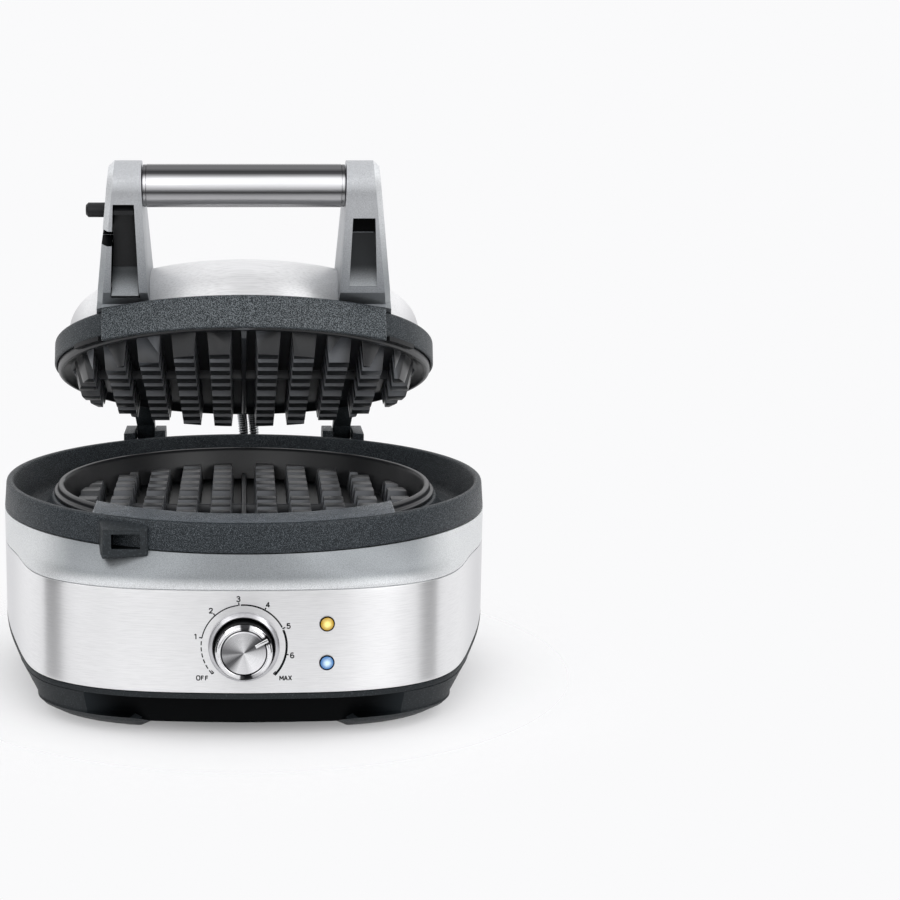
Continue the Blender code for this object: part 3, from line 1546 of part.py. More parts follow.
def make_latch_knob():
    """Lock knob: a round pin through the arm's side slot, on a block that slides behind the lever."""
    inner, outer = window_spans(channel_gap / 2)
    half = knob_block_length / 2
    front = knob_pin_depth - knob_block_thickness / 2
    back = knob_pin_depth + knob_block_thickness / 2
    outline = [(knob_pin_along - half, front), (knob_pin_along + half, front),
               (knob_pin_along + half, back), (knob_pin_along - half, back)]
    knob = add_part("latch_knob", arm_solid("latch_knob", outline, inner, outer, -1), "black_plastic")
    root = window_inner_head + overrun
    span = knob_pin_reach - root
    nose = knob_pin_radius / 3
    profile = [(0.0, 0.0), (knob_pin_radius - nose, 0.0), (knob_pin_radius, nose)]
    profile += [(knob_pin_radius, span), (0.0, span)]
    pin = turned_cutter("knob_pin", profile, steps=24)
    lay_along_x(pin, arm_place(knob_pin_along, knob_pin_depth, -knob_pin_reach))
    boolean(knob, pin, "UNION")
    return knob


def conduit_path():
    """Centre line of the conduits with the lid at rest, from the boot down to the gland, as (y, z)."""
    turn_lid = Matrix.Rotation(-lid_open_angle, 3, "X")
    start = Vector((0.0, lid_rim_radius + 2 * fit + boot_length, boot_closed_z))
    start = pivot + turn_lid @ (start - pivot)
    away = turn_lid @ Vector((0.0, 1.0, 0.0))
    end = Vector((0.0, conduit_base_y, conduit_base_z + fit))
    first = start + away * conduit_bend
    last = end + Vector((0.0, 0.0, conduit_bend))
    points = []
    for step in range(conduit_path_steps + 1):
        t = step / conduit_path_steps
        s = 1.0 - t
        points.append(start * s ** 3 + first * 3 * s * s * t + last * 3 * s * t * t + end * t ** 3)
    return points, away


def conduit_frames(offset):
    """Points, directions and running lengths along one conduit's centre line."""
    points, away = conduit_path()
    shifted = []
    for step, point in enumerate(points):
        share = ease(step / conduit_path_steps)
        x = offset + conduit_lid_x * (1.0 - share) + conduit_base_x * share
        shifted.append(point + Vector((x, 0.0, 0.0)))
    lengths = [0.0]
    for near, far in zip(shifted, shifted[1:]):
        lengths.append(lengths[-1] + (far - near).length)
    return shifted, lengths, away


def along_path(points, lengths, distance):
    """Point and direction at a distance along a polyline."""
    for index in range(len(points) - 1):
        if distance <= lengths[index + 1] or index == len(points) - 2:
            step = (points[index + 1] - points[index]).normalized()
            return points[index] + step * (distance - lengths[index]), step


def least_gap(points, thickness):
    """Least clear distance between neighbouring curls of a helix."""
    least = points[0].length + thickness
    for i, point in enumerate(points):
        last = min(len(points), i + 2 * conduit_points_per_turn)
        for j in range(i + conduit_points_per_turn // 2 + 1, last):
            near, far = points[j], points[min(j + 1, len(points) - 1)]
            span = far - near
            share = 0.0
            if span.length > 0.0:
                share = min(1.0, max(0.0, (point - near).dot(span) / span.length_squared))
            least = min(least, (near + span * share - point).length - thickness)
    return least


def make_conduits():
    """Two armoured conduits, each a wire coil round the sleeved leads that feed the upper element."""
    centre_radius = conduit_radius - conduit_wire
    for side, offset in (("left", -conduit_spacing / 2), ("right", conduit_spacing / 2)):
        points, lengths, away = conduit_frames(offset)
        start = conduit_wire + fit
        run = lengths[-1] - 2 * start
        count = conduit_turns * conduit_points_per_turn
        coil = []
        for step in range(count + 1):
            centre, direction = along_path(points, lengths, start + run * step / count)
            across = direction.cross(Vector((1.0, 0.0, 0.0))).normalized()
            beside = across.cross(direction)
            angle = 2.0 * math.pi * step / conduit_points_per_turn
            coil.append(centre + (beside * math.cos(angle) + across * math.sin(angle)) * centre_radius)
        gap = least_gap(coil, 2 * conduit_wire)
        print(f"conduit_spring_{side}: {conduit_turns} curls, least gap {gap * 1000:.2f} mm")
        rod_part(f"conduit_spring_{side}", coil, conduit_wire, "zinc", resolution=1)
        down = Vector((0.0, 0.0, conduit_end_depth))
        core = [points[0] - away * conduit_end_depth] + points + [points[-1] - down]
        rod_part(f"conduit_wire_{side}", core, conduit_core_radius, "sleeving")


def conduit_hole(name, x, y, z, downward):
    """Blind hole for the end of a conduit's lead."""
    depth = conduit_end_depth + 2 * fit
    hole = add_cutter(name, disc_mesh("hole", conduit_core_radius + fit, depth, sides=16))
    hole.location = (x, y, z)
    if not downward:
        hole.rotation_euler = (math.pi / 2, 0.0, 0.0)
    return hole


def make_conduit_gland(base_space):
    """Block on the shoulder's back that the conduits enter from above."""
    outline = [
        (gland_front, gland_bottom),
        (body_radius + edge_break, gland_bottom),
        (gland_back, gland_bottom + gland_slope),
        (gland_back, conduit_base_z - edge_break),
        (gland_back - edge_break, conduit_base_z),
        (gland_front, conduit_base_z),
    ]
    low = conduit_base_x - gland_half_width
    mesh = prism_mesh("gland", outline, low, low + 2 * gland_half_width)
    gland = add_part("conduit_gland", mesh, "charcoal")
    clear_of(gland, base_space)
    for side, offset in (("left", -conduit_spacing / 2), ("right", conduit_spacing / 2)):
        x = conduit_base_x + offset
        boolean(gland, conduit_hole(f"gland_hole_{side}", x, conduit_base_y, conduit_base_z, True))


def make_conduit_boot(lid_space):
    """Boot on the back of the lid's rim that takes the conduits' upper ends."""
    back = lid_rim_radius + fit + boot_length
    low = (conduit_lid_x - boot_half_width, lid_rim_radius - boot_length, boot_closed_z - boot_half_height)
    high = (conduit_lid_x + boot_half_width, back, boot_closed_z + boot_half_height)
    boot = add_part("conduit_boot", box_mesh("conduit_boot", low, high), "black_plastic")
    boolean(boot, lid_space)
    for side, offset in (("left", -conduit_spacing / 2), ("right", conduit_spacing / 2)):
        x = conduit_lid_x + offset
        boolean(boot, conduit_hole(f"boot_hole_{side}", x, back, boot_closed_z, False))


def hang(pieces, name, place):
    """Parent pieces to an empty on a joint's axis, without moving them."""
    empty = bpy.data.objects.new(name, None)
    parts.objects.link(empty)
    empty.location = place
    for piece in pieces:
        piece.parent = empty
        piece.matrix_parent_inverse = Matrix.Translation(-place)
    return empty


def make_base():
    """Everything that stays on the table."""
    make_base_tray()
    make_base_screws()
    make_foot_pads()
    make_body_band()
    make_shoulder_collar()
    make_bowl_ring()
    make_plate("lower_plate", lower_base, 1, lower_rim_top, lower_tooth_height, lower_flange_radius)
    make_element("lower_element", lower_base - plate_skin, -1)
    make_reflector("lower_reflector", lower_base - plate_skin, -1)
    make_thermostat()
    make_bezel()
    make_lamps()
    make_cord_gland()
    make_terminal_block()
    base_space = base_envelope()
    make_hinge_brackets(base_space)
    make_conduit_gland(base_space)
    make_conduits()


def make_lid():
    """Everything that swings on the hinge line, drawn shut and then raised."""
    kept = set(bpy.data.objects)
    make_lid_dome()
    make_lid_rim()
    make_plate("upper_plate", upper_base, -1, upper_rim_bottom, upper_tooth_height, plate_radius)
    make_element("upper_element", upper_base + plate_skin, 1)
    make_reflector("upper_reflector", upper_base + plate_skin, 1)
    make_plate_clips()
    rear_space = lid_envelope("lid_rear_envelope", False)
    front_space = lid_envelope("lid_front_envelope", True)
    make_hinge_arms(rear_space)
    make_conduit_boot(rear_space)
    arms = make_handle_arms(front_space)
    make_handle_tube()
    scoop, hook, pin, bore = make_latch()
    boolean(arms[0], bore)
    hang([scoop, hook, bore], "latch_axis", arm_place(latch_pivot_along, latch_pivot_depth, latch_x))
    before_knob = set(bpy.data.objects)
    make_latch_knob()
    knob_pieces = [obj for obj in bpy.data.objects if obj not in before_knob]
    hang(knob_pieces, "latch_slide", arm_place(knob_pin_along, knob_pin_depth, latch_x))
    lid_pieces = [obj for obj in bpy.data.objects if obj not in kept and obj.parent is None]
    lid = hang(lid_pieces, "lid_hinge", pivot)
    lid.rotation_euler = (-lid_open_angle, 0.0, 0.0)
    swing, tip = hook_geometry()
    gap = tip[1] * 1000
    print(f"latch turns {math.degrees(swing):.1f} degrees, nub tip {gap:.2f} mm behind the arm's face")


make_base()
make_dial()
make_lid()
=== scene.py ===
# %% [markdown]
# # A round waffle maker, dressed on its packed frame
#
# The frame holds every solid of the appliance at its real size. This lesson puts the visible
# skins and finishes on it: speckled charcoal castings, brushed steel, cast arms with a polished
# grip tube, the toothed plates, the dial with its printed scale, and two lamps.
#
# All lengths are in metres. The front looks along -Y, and +Z is up.

# %% Load the frame
import json
import math

import bmesh
import bpy
from mathutils import Matrix, Vector

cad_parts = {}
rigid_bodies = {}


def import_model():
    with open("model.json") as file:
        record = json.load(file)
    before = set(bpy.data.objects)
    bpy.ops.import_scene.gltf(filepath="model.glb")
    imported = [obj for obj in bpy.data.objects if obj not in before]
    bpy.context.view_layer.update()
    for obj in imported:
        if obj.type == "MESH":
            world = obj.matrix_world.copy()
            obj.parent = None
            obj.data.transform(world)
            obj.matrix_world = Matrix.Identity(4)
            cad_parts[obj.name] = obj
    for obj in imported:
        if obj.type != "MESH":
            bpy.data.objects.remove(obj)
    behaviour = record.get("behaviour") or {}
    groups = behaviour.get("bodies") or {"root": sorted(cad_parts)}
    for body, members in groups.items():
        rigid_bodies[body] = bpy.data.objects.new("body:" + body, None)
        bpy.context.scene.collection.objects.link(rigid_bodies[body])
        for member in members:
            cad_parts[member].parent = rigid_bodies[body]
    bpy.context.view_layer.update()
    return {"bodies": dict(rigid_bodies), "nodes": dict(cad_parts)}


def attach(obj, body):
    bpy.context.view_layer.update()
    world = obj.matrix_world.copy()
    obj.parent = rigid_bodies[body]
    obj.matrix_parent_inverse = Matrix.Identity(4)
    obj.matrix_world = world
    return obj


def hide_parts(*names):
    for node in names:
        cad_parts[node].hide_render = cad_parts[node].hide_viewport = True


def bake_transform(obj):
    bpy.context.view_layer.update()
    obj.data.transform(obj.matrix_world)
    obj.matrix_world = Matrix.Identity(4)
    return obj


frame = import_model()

nodes = frame["nodes"]

# %% [markdown]
# ## The camera
#
# The picture was taken from just above the lid, a little over a metre in front, with the lens
# pointing slightly down. The appliance stands left of the middle. A lens shift gives that without
# turning the camera, so the appliance still faces it squarely.

# %% Camera
camera_place = (0.0, -1.040, 0.310)
camera_pitch = math.radians(10.18)
camera_lens = 75.4
camera_sensor = 36.0
camera_shift = 0.229

camera_data = bpy.data.cameras.new("picture_camera")
camera_data.sensor_width = camera_sensor
camera_data.lens = camera_lens
camera_data.shift_x = camera_shift
camera = bpy.data.objects.new("picture_camera", camera_data)
camera.location = camera_place
camera.rotation_euler = (math.pi / 2 - camera_pitch, 0.0, 0.0)
bpy.context.scene.collection.objects.link(camera)
bpy.context.scene.camera = camera
print("camera lens:", camera_lens, "mm, shift", camera_shift)

# %% [markdown]
# ## How far the lid stands open
#
# The lid is easiest to draw shut, where its rings are level. One turn about the hinge line then
# swings its pieces back to where they stand on the open appliance. The grip's finish needs the
# same angle, so it is set first.

# %% Hinge line and opening angle
open_angle = math.radians(21.1)
hinge_line = Vector((0.0, 0.142, 0.108))
swing = Matrix.Rotation(-open_angle, 4, "X")
lid_place = Matrix.Translation(hinge_line) @ swing @ Matrix.Translation(-hinge_line)
print("the lid stands open by", round(math.degrees(open_angle), 1), "degrees")

# %% [markdown]
# ## Shader maths as plain sums
#
# A procedural finish is a graph of small nodes. Written socket by socket it hides its own idea,
# so a socket is wrapped in a class that knows addition, multiplication and so on. Each sign adds
# one Math node, and `1 - mask` works because the reflected forms are there too.

# %% Sockets that can be added and multiplied


class Wire:
    """A node's output that can stand in a sum."""

    def __init__(self, finish, socket):
        self.finish = finish
        self.socket = socket

    def step(self, operation, first, second):
        return self.finish.node("ShaderNodeMath", {"operation": operation}, {0: first, 1: second})

    def __add__(self, other):
        return self.step("ADD", self, other)

    def __sub__(self, other):
        return self.step("SUBTRACT", self, other)

    def __rsub__(self, other):
        return self.step("SUBTRACT", other, self)

    def __mul__(self, other):
        return self.step("MULTIPLY", self, other)

    def __truediv__(self, other):
        return self.step("DIVIDE", self, other)

    def __rtruediv__(self, other):
        return self.step("DIVIDE", other, self)

    def __pow__(self, other):
        return self.step("POWER", self, other)

    def __rpow__(self, other):
        return self.step("POWER", other, self)

    def __abs__(self):
        return self.step("ABSOLUTE", self, 0.0)

    __radd__ = __add__
    __rmul__ = __mul__

    def rise(self, start, end):
        """0 below start, 1 above end, and a soft ramp between them."""
        settings = {"interpolation_type": "SMOOTHSTEP"}
        sockets = {"Value": self, "From Min": start, "From Max": end}
        return self.finish.node("ShaderNodeMapRange", settings, sockets)


print("a wire takes + - * / ** and abs, and rises softly")

# %% [markdown]
# ## A finish and its nodes
#
# Nodes other than plain sums are added by one method, which takes their kind, their settings and
# what goes into their sockets. Noise, mixes and coordinates on the piece are built with it.

# %% One material and its nodes


class Finish:
    """One material, and the single method that adds nodes to it."""

    def __init__(self, name):
        self.material = bpy.data.materials.new(name)
        self.material.use_nodes = True
        self.tree = self.material.node_tree
        self.shader = self.tree.nodes["Principled BSDF"]

    def node(self, kind, settings=None, sockets=None, output=0):
        made = self.tree.nodes.new(kind)
        for key, value in (settings or {}).items():
            if key == "stops":
                ends = made.color_ramp.elements
                ends[0].position, ends[0].color = value[0]
                ends[-1].position, ends[-1].color = value[-1]
                for place, colour in value[1:-1]:
                    ends.new(place).color = colour
            else:
                setattr(made, key, value)
        for key, value in (sockets or {}).items():
            if isinstance(value, Wire):
                self.tree.links.new(value.socket, made.inputs[key])
            else:
                made.inputs[key].default_value = value
        return Wire(self, made.outputs[output])

    def place(self, scale):
        """Coordinates on the piece itself, stretched where the grain runs one way."""
        where = self.node("ShaderNodeTexCoord", output="Object")
        return self.node("ShaderNodeMapping", {}, {"Vector": where, "Scale": scale})

    def noise(self, size, stretch=(1.0, 1.0, 1.0), detail=2.0):
        """Noise whose features are about the given size."""
        sockets = {"Vector": self.place(stretch), "Scale": 1.0 / size, "Detail": detail}
        return self.node("ShaderNodeTexNoise", {}, sockets)

    def mix(self, first, second, share):
        """The first colour where share is 0, and the second where it is 1."""
        sockets = {0: share, 6: first, 7: second}
        return self.node("ShaderNodeMix", {"data_type": "RGBA"}, sockets, output=2)

    def part(self, axis):
        """One coordinate on the piece itself."""
        where = self.node("ShaderNodeTexCoord", output="Object")
        return self.node("ShaderNodeSeparateXYZ", {}, {0: where}, output=axis)

    def angle(self, rising, level):
        """The angle of a direction, from its rising and its level part."""
        return self.node("ShaderNodeMath", {"operation": "ARCTAN2"}, {0: rising, 1: level})

    def tones(self, share, stops):
        """Greys along a share from 0 to 1, each stop being a place and a screen level."""
        marks = [(place, shade(level, level, min(255, level + 2))) for place, level in stops]
        return self.node("ShaderNodeValToRGB", {"stops": marks}, {0: share})

    def set(self, **values):
        """Give the shader its plain numbers and its links."""
        for key, value in values.items():
            socket = self.shader.inputs[key.replace("_", " ").title().replace("Ior", "IOR")]
            if isinstance(value, Wire):
                self.tree.links.new(value.socket, socket)
            else:
                socket.default_value = value
        return self

    def bump(self, height, depth):
        """Lean the surface by a height pattern, depth metres from its lowest to its highest."""
        sockets = {"Height": height, "Strength": 1.0, "Distance": depth}
        return self.set(normal=self.node("ShaderNodeBump", {}, sockets))


print("a finish can:", [name for name in vars(Finish) if not name.startswith("_")])

# %% Colours from screen levels


def shade(red, green, blue):
    """A colour as seen on screen, from 0 to 255, turned into the light values that shaders use."""
    levels = [value / 255 for value in (red, green, blue)]
    linear = [((v + 0.055) / 1.055) ** 2.4 if v > 0.04 else v / 12.92 for v in levels]
    return (*linear, 1.0)


def dimmed(colour, share):
    """The same colour with more or less light in it."""
    return [min(1.0, value * share) for value in colour[:3]] + [1.0]


print("mid grey on screen is", round(shade(128, 128, 128)[0], 3), "as light")

# %% [markdown]
# ## Charcoal paint
#
# The bowl ring, the lid's rim and the tray wear a satin charcoal with fine pale flecks. Flecks
# could be painted on a picture, but a noise at half a millimetre does it on any shape. The same
# noise, much shallower, is the paint's own roughness under the light.

# %% Charcoal finishes


def speckled(name, ground, fleck, grain, share, depth, roughness):
    """Satin paint with pale flecks above a share of the noise."""
    paint = Finish(name)
    speck = paint.noise(grain, detail=1.0)
    broad = paint.noise(grain * 40)
    flecks = speck.rise(share, share + 0.07)
    toned = paint.mix(ground, dimmed(ground, 0.86), broad)
    paint.set(base_color=paint.mix(toned, fleck, flecks * 0.85), metallic=0.0, specular_ior_level=0.22)
    paint.set(roughness=roughness - 0.16 * flecks + 0.06 * broad)
    paint.bump(speck, depth)
    return paint.material


charcoals = {
    "ring": (shade(32, 37, 41), shade(90, 96, 101), 0.00038, 0.54, 0.00010, 0.46),
    # the ledge's upward faces: a paler charcoal as painted highlight
    "ledge": (shade(60, 65, 70), shade(150, 156, 162), 0.00045, 0.50, 0.00010, 0.40),
    "housing": (shade(40, 44, 47), shade(58, 63, 67), 0.00080, 0.56, 0.00005, 0.42),
    "rim": (shade(40, 45, 49), shade(86, 92, 96), 0.00045, 0.56, 0.00010, 0.48),
    "chin": (shade(36, 41, 45), shade(116, 122, 126), 0.00045, 0.50, 0.00014, 0.42),
    "tray": (shade(30, 34, 37), shade(56, 61, 65), 0.00060, 0.62, 0.00010, 0.50),
}
charcoal = {piece: speckled("charcoal_" + piece, *looks) for piece, looks in charcoals.items()}
print("charcoal finishes:", sorted(charcoal))

# %% [markdown]
# ## Brushed steel
#
# Sheet steel is brushed along its length, which leaves scratches a few hundredths of a
# millimetre wide and centimetres long. Noise stretched along one way makes them. They change the
# roughness and lean the surface a little, so highlights smear across the grain, and the slow
# noise keeps two areas from looking the same. The band and the dome also get painted shade: a
# darker tone where they curve away at the sides.

# %% Brushed finishes
side_blend = 0.010


def brushed(name, colour, stretch, width, depth, roughness, contrast=0.12, sides=None, metal=1.0):
    """Sheet steel whose highlights smear across its grain. `sides`: a distance, and painted shade's tone.
    """
    steel = Finish(name)
    steel.set(anisotropic=0.88, anisotropic_rotation=0.25)
    grain = steel.noise(width, stretch, detail=3.0)
    cloud = steel.noise(0.03)
    tone = steel.mix(dimmed(colour, 1 - contrast), colour, grain.rise(0.25, 0.65))
    # painted shade: beyond a distance from the middle, the tone turns darker
    if sides:
        out, level = sides
        share = abs(steel.part("X")).rise(out - side_blend, out + side_blend)
        tone = steel.mix(tone, level, share * (0.8 + 0.4 * grain))
    steel.set(base_color=tone, metallic=metal)
    steel.set(roughness=roughness + 0.10 * grain + 0.05 * cloud)
    steel.bump(grain, depth)
    return steel.material


# painted shade where the band and the dome curve away at the sides
band_painted_shade = (0.120, shade(212, 212, 214))
dome_painted_shade = (0.092, shade(156, 156, 159))
band_steel = brushed("band_steel", shade(240, 240, 241), (0.02, 0.02, 1.0), 0.00016, 0.000003, 0.30,
                     sides=band_painted_shade)
trim_steel = brushed("trim_steel", shade(206, 206, 209), (0.3, 0.3, 1.0), 0.0004, 0.000002, 0.24)
dome_steel = brushed("dome_steel", shade(248, 248, 249), (0.02, 1.0, 1.0), 0.0005, 0.000006, 0.28,
                     contrast=0.16, sides=dome_painted_shade, metal=0.45)
inner_steel = brushed("inner_steel", shade(186, 186, 188), (1.0, 0.1, 1.0), 0.0008, 0.00002, 0.38)
print("brushed finishes:", [made.name for made in (band_steel, trim_steel, dome_steel, inner_steel)])

# %% [markdown]
# ## Silver paint
#
# The shoulder and the handle's arms are painted a metallic silver: flakes in the paint are a
# fine, low-contrast noise. Light and shade are painted into its tone, as the room would show softly
# in the paint, so the tone runs from one height to another. The arms get painted shade toward their
# feet and are paler toward their tops, and the shoulder gets a painted highlight at its foot and sides.

# %% Silver paint


def silver_painted_light(name, low_tone, high_tone, low, high, metal=0.3, sides=None):
    """Silver paint with painted light: tone from one height to another, and a paler one at the sides."""
    paint = Finish(name)
    grain = paint.noise(0.0004, detail=1.0)
    # painted light: the tone changes with height, then turns paler toward the sides
    tone = paint.mix(low_tone, high_tone, paint.part("Z").rise(low, high))
    if sides:
        out, colour = sides
        tone = paint.mix(tone, colour, abs(paint.part("X")).rise(out - 0.014, out + 0.014))
    sockets = {0: tone, "Scale": 0.84 + 0.30 * grain.rise(0.30, 0.70)}
    speck = paint.node("ShaderNodeVectorMath", {"operation": "SCALE"}, sockets)
    paint.set(base_color=speck, metallic=metal, roughness=0.40 + 0.10 * grain)
    paint.bump(grain, 0.00001)
    return paint.material


# painted highlight on the shoulder's foot and sides, and painted shade low on the arms
shoulder_painted_highlight = (0.098, shade(220, 222, 223))
shoulder_painted_light = silver_painted_light("shoulder_painted_light", shade(226, 228, 230), shade(144, 148, 151),
                                0.0772, 0.0835, 0.6, shoulder_painted_highlight)
arm_silver_painted_light = silver_painted_light("arm_silver_painted_light", shade(126, 130, 134), shade(188, 190, 193), 0.205, 0.268, 0.6)
print("silver paints:", [made.name for made in (shoulder_painted_light, arm_silver_painted_light)])

# %% [markdown]
# ## Plated and polished metal
#
# The pointer is polished, and the pins, springs and screws are zinc plated. A polished tube shows
# the room around it as lines along its length. A bare white studio has no such room, so the
# grip's finish carries the lines itself: its tone follows the slope of each face, from straight
# down to straight up. The slope is taken on the piece, so the lines stay put in every view.

# %% Zinc, chrome and the grip's tube


def flake_paint(name, colour, grain, metal, roughness, depth):
    """A plated or painted metal with a fine sparkle."""
    paint = Finish(name)
    flake = paint.noise(grain, detail=1.0)
    broad = paint.noise(0.012)
    tone = paint.mix(dimmed(colour, 0.88), dimmed(colour, 1.14), flake.rise(0.30, 0.70))
    paint.set(base_color=tone, metallic=metal)
    paint.set(roughness=roughness + 0.10 * flake + 0.05 * broad)
    paint.bump(flake, depth)
    return paint.material


def polished(name, colour, roughness):
    """Bright metal with only a faint waviness."""
    metal = Finish(name)
    wave = metal.noise(0.006)
    smear = metal.noise(0.0012, (0.15, 1.0, 1.0))
    metal.set(base_color=metal.mix(dimmed(colour, 0.94), colour, smear), metallic=1.0)
    metal.set(roughness=roughness + 0.05 * smear)
    metal.bump(wave, 0.000004)
    return metal.material


def room_lines(name, turn, stops, roughness):
    """A polished tube's tone by the slope of its face, from straight down to straight up."""
    metal = Finish(name)
    slope = metal.angle(0 - metal.part("X"), 0 - metal.part("Y")) + turn
    smear = metal.noise(0.0010, (1.0, 1.0, 0.05))
    marks = [((degrees + 90) / 180, level) for degrees, level in stops]
    tone = metal.tones(slope / math.pi + 0.5 + 0.01 * smear, marks)
    metal.set(base_color=tone, metallic=0.5, roughness=roughness + 0.06 * smear)
    metal.bump(metal.noise(0.006), 0.000003)
    return metal.material


knob_chrome = polished("knob_chrome", shade(232, 232, 233), 0.08)
tube_stops = [(-90, 20), (-75, 30), (-60, 165), (-48, 150), (-34, 175), (-26, 160), (-16, 80),
              (-9, 150), (0, 210), (8, 250), (22, 245), (29, 160), (36, 60), (43, 40), (55, 100),
              (74, 70), (90, 210)]
tube_chrome = room_lines("tube_chrome", open_angle, tube_stops, 0.16)
pin_zinc = flake_paint("pin_zinc", shade(176, 178, 180), 0.0006, 0.9, 0.34, 0.00001)
print("plated metals:", [made.name for made in (knob_chrome, tube_chrome, pin_zinc)])

# %% [markdown]
# ## Plastics, rubber and ceramic
#
# The black plastics have the fine spark-eroded grain that moulds leave, and a slow noise where
# hands have polished them. The same finish in other colours does for rubber, ceramic, ink and the
# lamp board, because none of them is metal. A near-black that reflects almost nothing is painted
# into deep recesses and gaps as shade, and is also the real black of a few small parts.

# %% Moulded finishes


def moulded(name, colour, grain, depth, roughness, gloss=0.3):
    """A moulded surface with a fine grain. `gloss` is how strongly it mirrors the room."""
    plastic = Finish(name)
    pits = plastic.noise(grain)
    handled = plastic.noise(0.010)
    pale = [v * 1.35 + 0.002 for v in colour[:3]] + [1.0]
    tone = plastic.mix(colour, pale, pits.rise(0.45, 0.75))
    plastic.set(base_color=tone, metallic=0.0, specular_ior_level=gloss)
    plastic.set(roughness=roughness + 0.12 * pits - 0.06 * handled)
    plastic.bump(pits, depth)
    return plastic.material


black_latch = moulded("black_latch", shade(24, 25, 27), 0.0005, 0.00003, 0.42)
# painted shade in recesses and gaps, and the real black of the lamp rims and conduit parts
black_and_painted_shade = moulded("black_and_painted_shade", shade(5, 6, 7), 0.0006, 0.00002, 0.30, 0.04)
black_rubber = moulded("black_rubber", shade(34, 34, 36), 0.0009, 0.00006, 0.72)
cream_ceramic = moulded("cream_ceramic", shade(208, 202, 190), 0.0006, 0.00003, 0.55)
green_board = moulded("green_board", shade(30, 84, 46), 0.0008, 0.00002, 0.45)
scale_ink = moulded("scale_ink", shade(18, 19, 21), 0.0004, 0.00001, 0.55, 0.1)
moulded_finishes = (black_latch, black_and_painted_shade, black_rubber, cream_ceramic, green_board, scale_ink)
print("moulded finishes:", [made.name for made in moulded_finishes])

# %% [markdown]
# ## The non-stick coat
#
# The plates are cast aluminium under a black coat. The teeth get a painted highlight: a paler
# line along their edges, which Geometry's pointiness finds. The coat's own clear layer gives
# the low gloss that a new plate has.

# %% Non-stick coat


def non_stick(name):
    """Black coat with a painted highlight: paler along every edge."""
    coat = Finish(name)
    grain = coat.noise(0.0006)
    edge = coat.node("ShaderNodeNewGeometry", output="Pointiness").rise(0.53, 0.60)
    ground = coat.mix(shade(14, 15, 18), shade(26, 28, 32), grain)
    # painted highlight: a paler tone mixed in along the edges
    coat.set(base_color=coat.mix(ground, shade(124, 128, 134), edge * 0.5), metallic=0.0)
    coat.set(roughness=0.36 + 0.14 * grain, coat_weight=0.25, coat_roughness=0.28)
    coat.bump(grain, 0.00003)
    return coat.material


plate_coat = non_stick("plate_coat")
print("coat nodes:", len(plate_coat.node_tree.nodes))

# %% [markdown]
# ## Turned metal, seen face on
#
# The dial's disc is spun: fine rings round its middle, over which light falls in a fan of bright
# and dark spokes. The spokes are a painted reflection: the tone follows the angle round the axis,
# and a noise along the radius makes the rings. The polished ring round it gets a painted reflection
# the same way, with dark patches between bright arcs.

# %% Spun disc and polished ring


def by_angle(name, stops, roughness, pitch=0.0):
    """Painted reflection: a tone for each angle round the axis, in degrees. `pitch` sizes the rings."""
    metal = Finish(name)
    x, y = metal.part("X"), metal.part("Y")
    share = metal.angle(y, x) / (2 * math.pi) + 0.5
    # painted reflection: the tone by angle round the axis
    tone = metal.tones(share, [((degrees + 180) / 360, level) for degrees, level in stops])
    grain = metal.noise(0.003)
    if pitch:
        sockets = {"W": (x * x + y * y) ** 0.5 / pitch, "Detail": 2.0, "Scale": 1.0}
        grain = metal.node("ShaderNodeTexNoise", {"noise_dimensions": "1D"}, sockets)
    tone = metal.mix(tone, shade(150, 150, 152), grain.rise(0.45, 0.8) * 0.22)
    metal.set(base_color=tone, metallic=1.0, roughness=roughness + 0.10 * grain)
    metal.bump(grain, 0.000005)
    return metal.material


# painted reflections on the knob's ring and the spun disc, by angle round the axis
ring_painted_reflection = [(-180, 235), (-125, 240), (-100, 230), (-97, 20), (-73, 25), (-69, 150), (-40, 245),
              (18, 245), (21, 15), (38, 15), (42, 240), (76, 240), (79, 55), (96, 55), (99, 245),
              (180, 235)]
disc_painted_reflection = [(-180, 115), (-170, 175), (-145, 85), (-135, 100), (-110, 230), (-80, 215), (-60, 250),
              (-20, 240), (10, 200), (20, 120), (35, 65), (50, 115), (65, 205), (95, 240), (125, 220),
              (150, 175), (170, 120), (180, 115)]
ring_chrome = by_angle("ring_chrome", ring_painted_reflection, 0.10)
disc_steel = by_angle("disc_steel", disc_painted_reflection, 0.24, 0.00022)
print("spokes on the disc:", len(disc_painted_reflection))

# %% [markdown]
# ## Lamp lenses
#
# Each lens is a clear coloured cap with a small lamp behind it. It is brightest in the middle and
# deeper towards its rim, and it glows a little, so that it reads as lit without lighting the band.

# %% Lens finishes
lens_glow = 0.28


def lens_colour(name, deep, bright):
    """A clear cap with a lamp behind it: brightest in the middle, deeper towards its rim."""
    lens = Finish(name)
    x, y = lens.part("X"), lens.part("Y")
    rim = ((x * x + y * y) ** 0.5 + 0.0006 * lens.noise(0.0010)).rise(0.0006, 0.0034)
    tone = lens.mix(bright, deep, rim)
    lens.set(base_color=tone, emission_color=tone, emission_strength=lens_glow, roughness=0.12 + 0.1 * rim)
    lens.set(coat_weight=0.6, coat_roughness=0.05)
    return lens.material


amber_glow = lens_colour("amber_glow", shade(176, 138, 34), shade(250, 236, 146))
blue_glow = lens_colour("blue_glow", shade(60, 112, 168), shade(200, 224, 240))
print("lens finishes:", [made.name for made in (amber_glow, blue_glow)])

# %% [markdown]
# ## Making skins from rings of points
#
# Most of this appliance is turned, drawn or cast on a round plan, so most skins are rings of
# points joined by quads. Corners of a section are softened first, because no real edge is sharp
# and the thin highlight along it is what makes an edge look real. Ends that are cut off square
# get a small bevel afterwards.

